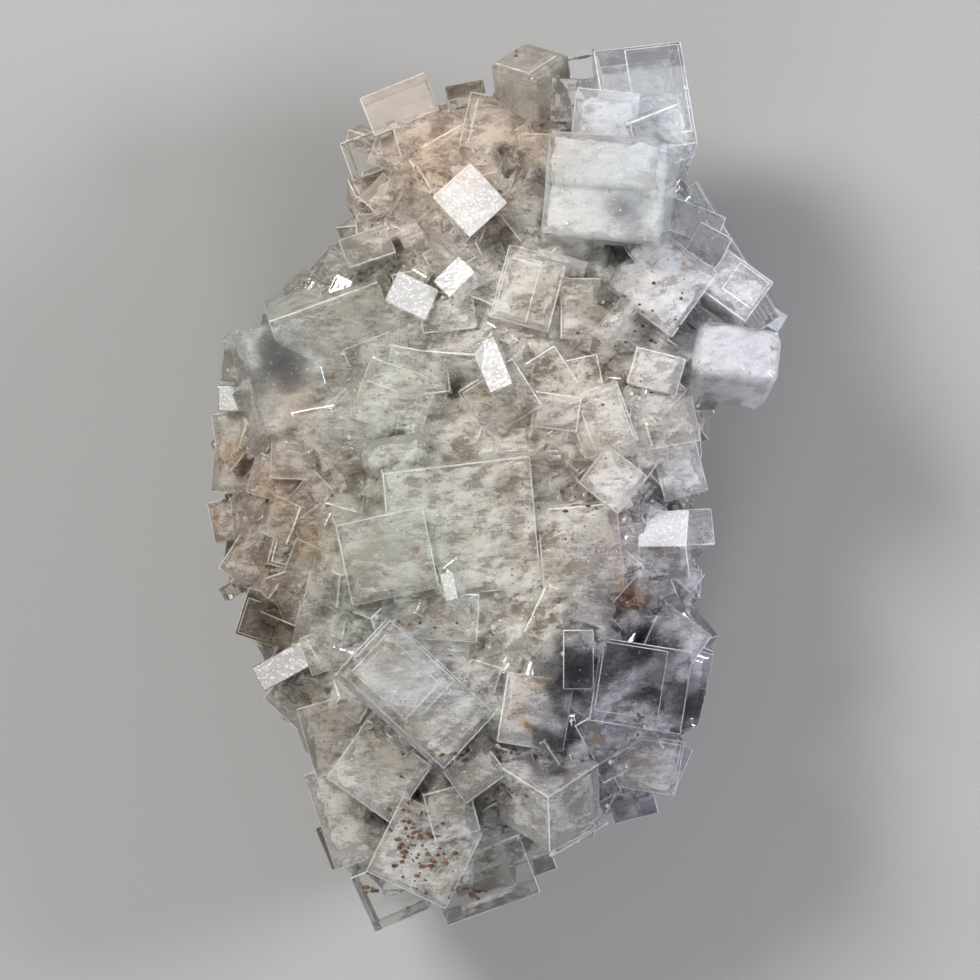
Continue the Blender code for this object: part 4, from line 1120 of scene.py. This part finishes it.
def addCrack(target, dice, middle, size, turn):
    # a thin bent sheet inside the crystal, closed round its rim
    reach = phantomStyle["crackReach"] * min(size)
    tilt = Matrix.Rotation(dice.uniform(0.5, 1.1), 4, Vector((dice.uniform(-1, 1), dice.uniform(-1, 1), 0.3)))
    bm = bmesh.new()
    steps = phantomStyle["crackSteps"]
    layers = [bm.loops.layers.uv.new(layer) for layer in ("faceNear", "faceFar")]
    sheets = []
    for side in (-0.5, 0.5):
        grid = []
        for row in range(steps + 1):
            for column in range(steps + 1):
                x, y = 2.0 * column / steps - 1.0, 2.0 * row / steps - 1.0
                bend = 0.22 * noise.noise(Vector((x, y, middle.x * 900.0)) * 1.4)
                wide = 1.0 + 0.3 * noise.noise(Vector((x * 2.0, y * 2.0, middle.y * 700.0)))
                grid.append(bm.verts.new((
                    reach * x * wide, reach * y * wide, reach * bend + side * phantomStyle["crackThickness"],
                )))
        sheets.append(grid)
    width = steps + 1
    for row in range(steps):
        for column in range(steps):
            corner = row * width + column
            corners = [corner, corner + 1, corner + width + 1, corner + width]
            bm.faces.new([sheets[1][corner] for corner in corners])
            bm.faces.new([sheets[0][corner] for corner in reversed(corners)])
    rim = list(range(width)) + [row * width + steps for row in range(1, width)]
    rim += [steps * width + column for column in range(steps - 1, -1, -1)]
    rim += [row * width for row in range(steps - 1, 0, -1)]
    for first, after in zip(rim, rim[1:] + rim[:1]):
        bm.faces.new((sheets[0][first], sheets[0][after], sheets[1][after], sheets[1][first]))
    for face in bm.faces:
        for loop in face.loops:
            for layer in layers:
                loop[layer].uv = (4.0, 4.0)  # far from any edge
    pourInto(target, bm, Matrix.Translation(middle) @ turn @ tilt)


def makePhantoms():
    print("phantoms: nested zones and healed cracks")
    dice = random.Random(phantomStyle["seed"])
    zones = newBody()
    for name, x, y, z, width, height, depth, spin, lean, toward, look in crystalRows:
        if min(width, height) * mm < phantomStyle["from"] or name not in clearNames:
            continue
        faceMiddle = Vector((x, y, z)) * mm
        size = Vector((width, height, depth)) * mm
        turn = faceTurn(math.radians(spin), math.radians(lean), math.radians(toward))
        drift = Vector((dice.uniform(-1, 1) * size.x, dice.uniform(-1, 1) * size.y, 0.0)) * phantomStyle["drift"]
        for share, under in zip(phantomStyle["shares"], phantomStyle["under"]):
            zone = (size.x * share, size.y * share, size.z * 0.9 - under)
            place = faceMiddle + turn @ (drift - up * under)
            addBlock(zones, zone, crystalPlace(place, zone[2], turn), looks[0], bevel=phantomStyle["bevel"])
        shift = Vector((
            dice.uniform(-0.15, 0.15) * size.x, dice.uniform(-0.15, 0.15) * size.y,
            -phantomStyle["crackDepth"] * min(size),
        ))
        addCrack(zones, dice, faceMiddle + turn @ shift, size, turn)
    for face in zones.faces:
        face.material_index = 0
    return newPiece("phantomZones", zones)


def makePhantomMaterial():
    # a faint milky film, thicker in patches and along the edges of each zone
    material, tree, shader = newMaterial("phantomFilm")
    growth = placeGroup(tree, "growth", Near=uvNode(tree, "faceNear"), Far=uvNode(tree, "faceFar"))
    patches = noiseNode(tree, objectPlace(tree), 420.0, 2.0, 0.7)
    alpha = ramp(tree, patches, 0.42, 0.66, *phantomStyle["alpha"])
    edge = mathNode(tree, "MULTIPLY", growth["Edge"], phantomStyle["edgeAlpha"])
    edge = mathNode(tree, "MULTIPLY", edge, ramp(tree, patches, 0.36, 0.55))
    colour = mixColour(tree, 0.5, attributeNode(tree, "bodyTint", "Color"), phantomStyle["colour"])
    feed(tree, shader, {
        "Base Color": mixColour(tree, edge, colour, phantomStyle["edgeColour"]),
        "Alpha": mathNode(tree, "MAXIMUM", alpha, edge), "Roughness": phantomStyle["roughness"],
    })
    return material


phantoms = makePhantoms()
phantoms.data.materials.append(makePhantomMaterial())
paintTint(phantoms.data)
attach(phantoms, "root")
print("phantoms:", len(phantoms.data.polygons), "faces")


def newGeometryTree(name, inputs):
    geometry = ("Geometry", "Geometry")
    return newTree("GeometryNodeTree", name, [(*geometry, None)] + inputs, [geometry])


def runGeometryTree(piece, tree, values):
    # inputs go in by identifier, and the result is baked to a plain mesh
    modifier = piece.modifiers.new(tree.name, "NODES")
    modifier.node_group = tree
    sockets = {item.name: item.identifier for item in tree.interface.items_tree if item.in_out == "INPUT"}
    for name, value in values.items():
        modifier[sockets[name]] = value
    bakeMesh(piece)


def finishTree(tree, source, target, geometry):
    realize = addNode(tree, "GeometryNodeRealizeInstances", {0: geometry}).outputs[0]
    finish = addNode(tree, "GeometryNodeSetMaterial", {"Geometry": realize, "Material": source["Material"]})
    feed(tree, target, {0: finish.outputs[0]})
    return tree


# the sugar of tiny cubes in the gaps and on the rims
druseStyle = {
    "density": 90000.0, "size": (0.15 * mm, 0.5 * mm), "jitter": 0.55, "seed": 19,
    "largestFace": 3.0 * mm * mm, "westRim": -33.0 * mm, "westTop": 30.0 * mm, "westShare": 2.5, "lowest": 5.0 * mm,
}


def makeDruseTree():
    tree, source, target = newGeometryTree("druseCubes", [
        ("Density", "Float", 100.0), ("Smallest", "Float", 0.001), ("Largest", "Float", 0.002),
        ("Jitter", "Float", 0.5), ("Seed", "Int", 1), ("Material", "Material", None),
    ])
    weight = addNode(tree, "GeometryNodeInputNamedAttribute", {"Name": "druse"}, data_type="FLOAT").outputs[0]
    scatter = addNode(tree, "GeometryNodeDistributePointsOnFaces", {
        "Mesh": source["Geometry"], "Density": mathNode(tree, "MULTIPLY", weight, source["Density"]),
        "Seed": source["Seed"],
    }, distribute_method="RANDOM").outputs
    size = addNode(tree, "FunctionNodeRandomValue", {
        2: source["Smallest"], 3: source["Largest"], "Seed": source["Seed"],
    }, data_type="FLOAT").outputs[1]
    jitter = addNode(tree, "FunctionNodeRandomValue", {
        0: mathNode(tree, "MULTIPLY", source["Jitter"], -1.0), 1: source["Jitter"], "Seed": source["Seed"],
    }, data_type="FLOAT_VECTOR").outputs[0]
    turn = addNode(tree, "FunctionNodeRotateRotation", {0: scatter["Rotation"], 1: jitter}, rotation_space="LOCAL")
    cube = addNode(tree, "GeometryNodeMeshCube", {"Size": (1.0, 1.0, 1.0)})
    place = addNode(tree, "GeometryNodeInstanceOnPoints", {
        "Points": scatter["Points"], "Instance": cube.outputs["Mesh"], "Rotation": turn.outputs[0], "Scale": size,
    })
    return finishTree(tree, source, target, place.outputs[0])


def makeDruse():
    # the cubes take to the small faces low between the crystals
    piece = newPiece("druse", bmesh.new())
    piece.data = crust.data.copy()
    weight = piece.data.attributes.new("druse", "FLOAT", "FACE")
    for face, entry in zip(piece.data.polygons, weight.data):
        small = face.area < druseStyle["largestFace"] and looks[face.material_index] != "edge"
        rim = face.center.x < druseStyle["westRim"] and face.center.z < druseStyle["westTop"]
        entry.value = druseStyle["westShare"] if rim else float(small and face.center.z > druseStyle["lowest"])
    runGeometryTree(piece, makeDruseTree(), {
        "Density": druseStyle["density"], "Smallest": druseStyle["size"][0], "Largest": druseStyle["size"][1],
        "Jitter": druseStyle["jitter"], "Seed": druseStyle["seed"], "Material": fluorites["frost"],
    })
    return piece


druse = makeDruse()
paintTint(druse.data)
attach(druse, "root")
print("druse:", len(druse.data.polygons), "faces")


# rusty beads on and just under the faces: middle (x, y), reach along and across (mm), turn
# (degrees), how many, and the size from least to most (mm)
ironClusters = [
    ("foot", -9.9, -44.9, 2.8, 4.8, 15, 80, 0.20, 0.62),
    ("foot's right", -2.6, -50.5, 1.4, 0.8, 20, 10, 0.25, 0.60),
    ("foot's left", -16.0, -50.4, 1.0, 0.7, 0, 10, 0.25, 0.60),
    ("above the foot", -5.3, -33.7, 2.2, 0.7, -10, 9, 0.22, 0.50),
    ("squiggle", 2.1, -38.3, 1.5, 1.2, 40, 14, 0.22, 0.45),
    ("seam", 7.2, -33.4, 6.0, 0.4, -4, 26, 0.20, 0.42),
    ("lower right", 18.0, -29.0, 0.6, 1.6, -10, 12, 0.22, 0.45),
    ("rust cube", 16.6, -14.8, 2.6, 0.5, 0, 16, 0.22, 0.50),
    ("right edge", 26.0, -26.5, 0.9, 2.2, 15, 14, 0.22, 0.50),
    ("gable's line", 2.4, 54.2, 0.3, 0.8, 0, 7, 0.20, 0.36),
    ("right", 17.5, 20.0, 5.5, 6.0, 0, 24, 0.22, 0.45),
    ("middle", 8.0, -3.0, 6.0, 6.0, 0, 16, 0.22, 0.42),
    ("below the heart", -9.0, -17.0, 4.5, 0.5, 0, 7, 0.22, 0.45),
]
ironStyle = {
    "seed": 31, "flat": 0.45, "proud": 0.05 * mm, "spread": 0.6, "stretches": (1.0, 1.0, 1.3, 1.9),
    "steepest": 0.25, "above": 80.0, "colour": (0.030, 0.012, 0.004, 1.0), "gold": (0.13, 0.060, 0.011, 1.0),
}


def makeBeadTree():
    tree, source, target = newGeometryTree("ironBeads", [("Flatness", "Float", 0.5), ("Material", "Material", None)])
    size, facing = [
        addNode(tree, "GeometryNodeInputNamedAttribute", {"Name": name}, data_type="FLOAT_VECTOR").outputs[0]
        for name in ("beadSize", "beadFacing")
    ]
    turn = addNode(tree, "FunctionNodeAlignRotationToVector", {"Vector": facing}, axis="Z")
    squash = addNode(tree, "ShaderNodeCombineXYZ", {0: 1.0, 1: 1.0, 2: source["Flatness"]})
    shape = addNode(tree, "ShaderNodeVectorMath", {0: size, 1: squash.outputs[0]}, operation="MULTIPLY")
    bead = addNode(tree, "GeometryNodeMeshUVSphere", {"Segments": 9, "Rings": 6, "Radius": 0.5})
    place = addNode(tree, "GeometryNodeInstanceOnPoints", {
        "Points": source["Geometry"], "Instance": bead.outputs["Mesh"], "Rotation": turn.outputs[0],
        "Scale": shape.outputs[0],
    })
    smooth = addNode(tree, "GeometryNodeSetShadeSmooth", {0: place.outputs[0]})
    return finishTree(tree, source, target, smooth.outputs[0])


def makeIronMaterial():
    material, tree, shader = newMaterial("ironRust")
    tone = noiseNode(tree, objectPlace(tree), 900.0, 3.0)
    feed(tree, shader, {
        "Base Color": mixColour(tree, ramp(tree, tone, 0.35, 0.68), ironStyle["colour"], ironStyle["gold"]),
        "Roughness": ramp(tree, tone, 0.3, 0.7, 0.25, 0.5),
    })
    return material


def makeIron():
    # each bead drops onto the crystals from above
    dice = random.Random(ironStyle["seed"])
    skin = bmesh.new()
    skin.from_mesh(crust.data)
    tree = BVHTree.FromBMesh(skin)
    skin.free()
    bm = bmesh.new()
    sizes = bm.verts.layers.float_vector.new("beadSize")
    facings = bm.verts.layers.float_vector.new("beadFacing")
    for name, x, y, along, across, turn, count, least, most in ironClusters:
        for index in range(count):
            gaps = [dice.gauss(0.0, ironStyle["spread"]) for side in range(2)]
            step = Vector((gaps[0] * along, gaps[1] * across, 0.0))
            step.rotate(Matrix.Rotation(math.radians(turn), 3, "Z"))
            size = dice.uniform(least, most) * mm
            stretch = dice.choice(ironStyle["stretches"])
            hit, normal, face, gap = tree.ray_cast(Vector((x + step.x, y + step.y, ironStyle["above"])) * mm, -up)
            if hit is None or normal.z < ironStyle["steepest"]:
                continue
            vert = bm.verts.new(hit + normal * ironStyle["proud"])
            vert[sizes] = Vector((size * stretch, size, size))
            vert[facings] = normal
    piece = newPiece("ironBeads", bm)
    runGeometryTree(piece, makeBeadTree(), {"Flatness": ironStyle["flat"], "Material": makeIronMaterial()})
    return piece


iron = makeIron()
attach(iron, "root")
print("iron beads:", len(iron.data.polygons), "faces")


rockStyle = {
    "voxel": 0.75 * mm, "ribHeight": 1.3 * mm, "lumps": 0.9 * mm, "grain": 0.25 * mm, "swell": 0.7 * mm,
    "foot": 0.9 * mm, "flatBack": 0.2 * mm,
    "cream": (0.80, 0.73, 0.58, 1.0), "brown": (0.17, 0.11, 0.055, 1.0), "grey": (0.40, 0.37, 0.30, 1.0),
}


def makeRock():
    print("rock: ribs and grain")
    bm = bmesh.new()
    bm.from_mesh(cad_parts["matrix"].data)
    bmesh.ops.remove_doubles(bm, verts=bm.verts, dist=0.01 * mm)
    piece, bm = evenSkin("matrixRock", bm, rockStyle["voxel"])
    shade = bm.verts.layers.float.new("ribShade")
    places = []
    for vert in bm.verts:
        place = vert.co.copy()
        rib = ribShade(place)
        vert[shade] = rib
        lump = noise.noise(place * 130.0) + 0.5 * noise.noise(place * 330.0)
        out = rockStyle["swell"] + rockStyle["ribHeight"] * (rib - 0.5)
        out += rockStyle["lumps"] * lump + rockStyle["grain"] * noise.noise(place * 1100.0)
        place += vert.normal * out * min(1.0, max(0.0, (place.z - rockStyle["flatBack"]) / rockStyle["foot"]))
        place.z = max(place.z, 0.0)
        places.append(place)
    return moveSkin(piece, bm, places)


def makeRockMaterial():
    material, tree, shader = newMaterial("rock")
    place = objectPlace(tree)
    broad = noiseNode(tree, place, 120.0, 5.0, 0.6, 0.4)
    fine = noiseNode(tree, place, 900.0, 6.0, 0.7)
    ribs = mathNode(tree, "MULTIPLY", attributeNode(tree, "ribShade"), 0.6)
    bands = mathNode(tree, "ADD", ribs, mathNode(tree, "MULTIPLY", fine, 0.5))
    colour = mixColour(tree, ramp(tree, bands, 0.25, 0.75), rockStyle["brown"], rockStyle["cream"])
    colour = mixColour(tree, ramp(tree, broad, 0.5, 0.72, 0.0, 0.6), colour, rockStyle["grey"])
    feed(tree, shader, {
        "Base Color": placeGroup(tree, "stain", Vector=place, Colour=colour, Amount=0.45)["Colour"],
        "Roughness": ramp(tree, fine, 0.3, 0.7, 0.75, 0.95), "Normal": bumpNode(tree, fine, 0.7, 0.25 * mm),
    })
    return material


rock = makeRock()
rock.data.materials.append(makeRockMaterial())
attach(rock, "root")
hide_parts("matrix")
print("rock:", len(rock.data.polygons), "faces")


studio = {
    "exposure": -0.45, "floorSize": 3.0, "floorColour": (0.29, 0.29, 0.285, 1.0), "floorRoughness": 0.9,
    "cameraHeight": 1.03, "lookAt": (-0.75 * mm, -0.5 * mm), "focusHeight": 30.0 * mm, "viewWidth": 122.5 * mm,
    "sensor": 36.0, "clipStart": 0.05, "aim": Vector((0.0, 0.0, 0.02)), "worldStrength": 0.6,
    "low": (0.05, 0.05, 0.06, 1.0), "high": (0.85, 0.86, 0.9, 1.0),
    # each soft light: name, place (m), size (m), power and colour
    "lights": [
        ("keyBox", (-0.42, 0.38, 0.62), (0.24, 0.24), 11.0, (1.0, 0.98, 0.95)),
        ("fillBox", (0.60, 0.10, 0.42), (0.22, 0.22), 6.5, (0.93, 0.94, 1.0)),
        ("footBox", (-0.10, -0.60, 0.34), (0.24, 0.18), 3.0, (0.97, 0.97, 1.0)),
    ],
}


def makeFloor():
    bm = bmesh.new()
    bmesh.ops.create_grid(bm, x_segments=1, y_segments=1, size=0.5 * studio["floorSize"])
    floor = newPiece("floor", bm)
    material, tree, shader = newMaterial("floorPaper")
    feed(tree, shader, {
        "Base Color": studio["floorColour"], "Roughness": studio["floorRoughness"], "Specular IOR Level": 0.0,
    })
    floor.data.materials.append(material)


def makeLights():
    for name, place, size, power, colour in studio["lights"]:
        data = bpy.data.lights.new(name, "AREA")
        data.shape = "RECTANGLE"
        data.size, data.size_y = size
        data.energy = power
        data.color = colour
        lamp = bpy.data.objects.new(name, data)
        lamp.location = place
        lamp.rotation_euler = (studio["aim"] - Vector(place)).to_track_quat("-Z", "Y").to_euler()
        bpy.context.scene.collection.objects.link(lamp)


def makeWorld():
    world = bpy.data.worlds.new("studio")
    world.use_nodes = True
    tree = world.node_tree
    direction = tree.nodes.new("ShaderNodeTexCoord").outputs["Generated"]
    height = addNode(tree, "ShaderNodeSeparateXYZ", {0: direction}).outputs[2]
    colour = mixColour(tree, ramp(tree, height, 0.0, 0.95), studio["low"], studio["high"])
    feed(tree, tree.nodes["Background"], {"Color": colour, "Strength": studio["worldStrength"]})
    bpy.context.scene.world = world
    bpy.context.scene.view_settings.view_transform = "Standard"
    bpy.context.scene.view_settings.exposure = studio["exposure"]


def makeCamera():
    data = bpy.data.cameras.new("camera")
    data.sensor_width = studio["sensor"]
    data.lens = studio["sensor"] * (studio["cameraHeight"] - studio["focusHeight"]) / studio["viewWidth"]
    data.clip_start = studio["clipStart"]
    camera = bpy.data.objects.new("camera", data)
    camera.location = (*studio["lookAt"], studio["cameraHeight"])
    bpy.context.scene.collection.objects.link(camera)
    bpy.context.scene.camera = camera


makeFloor()
makeLights()
makeWorld()
makeCamera()
print("studio: floor, lights and camera")
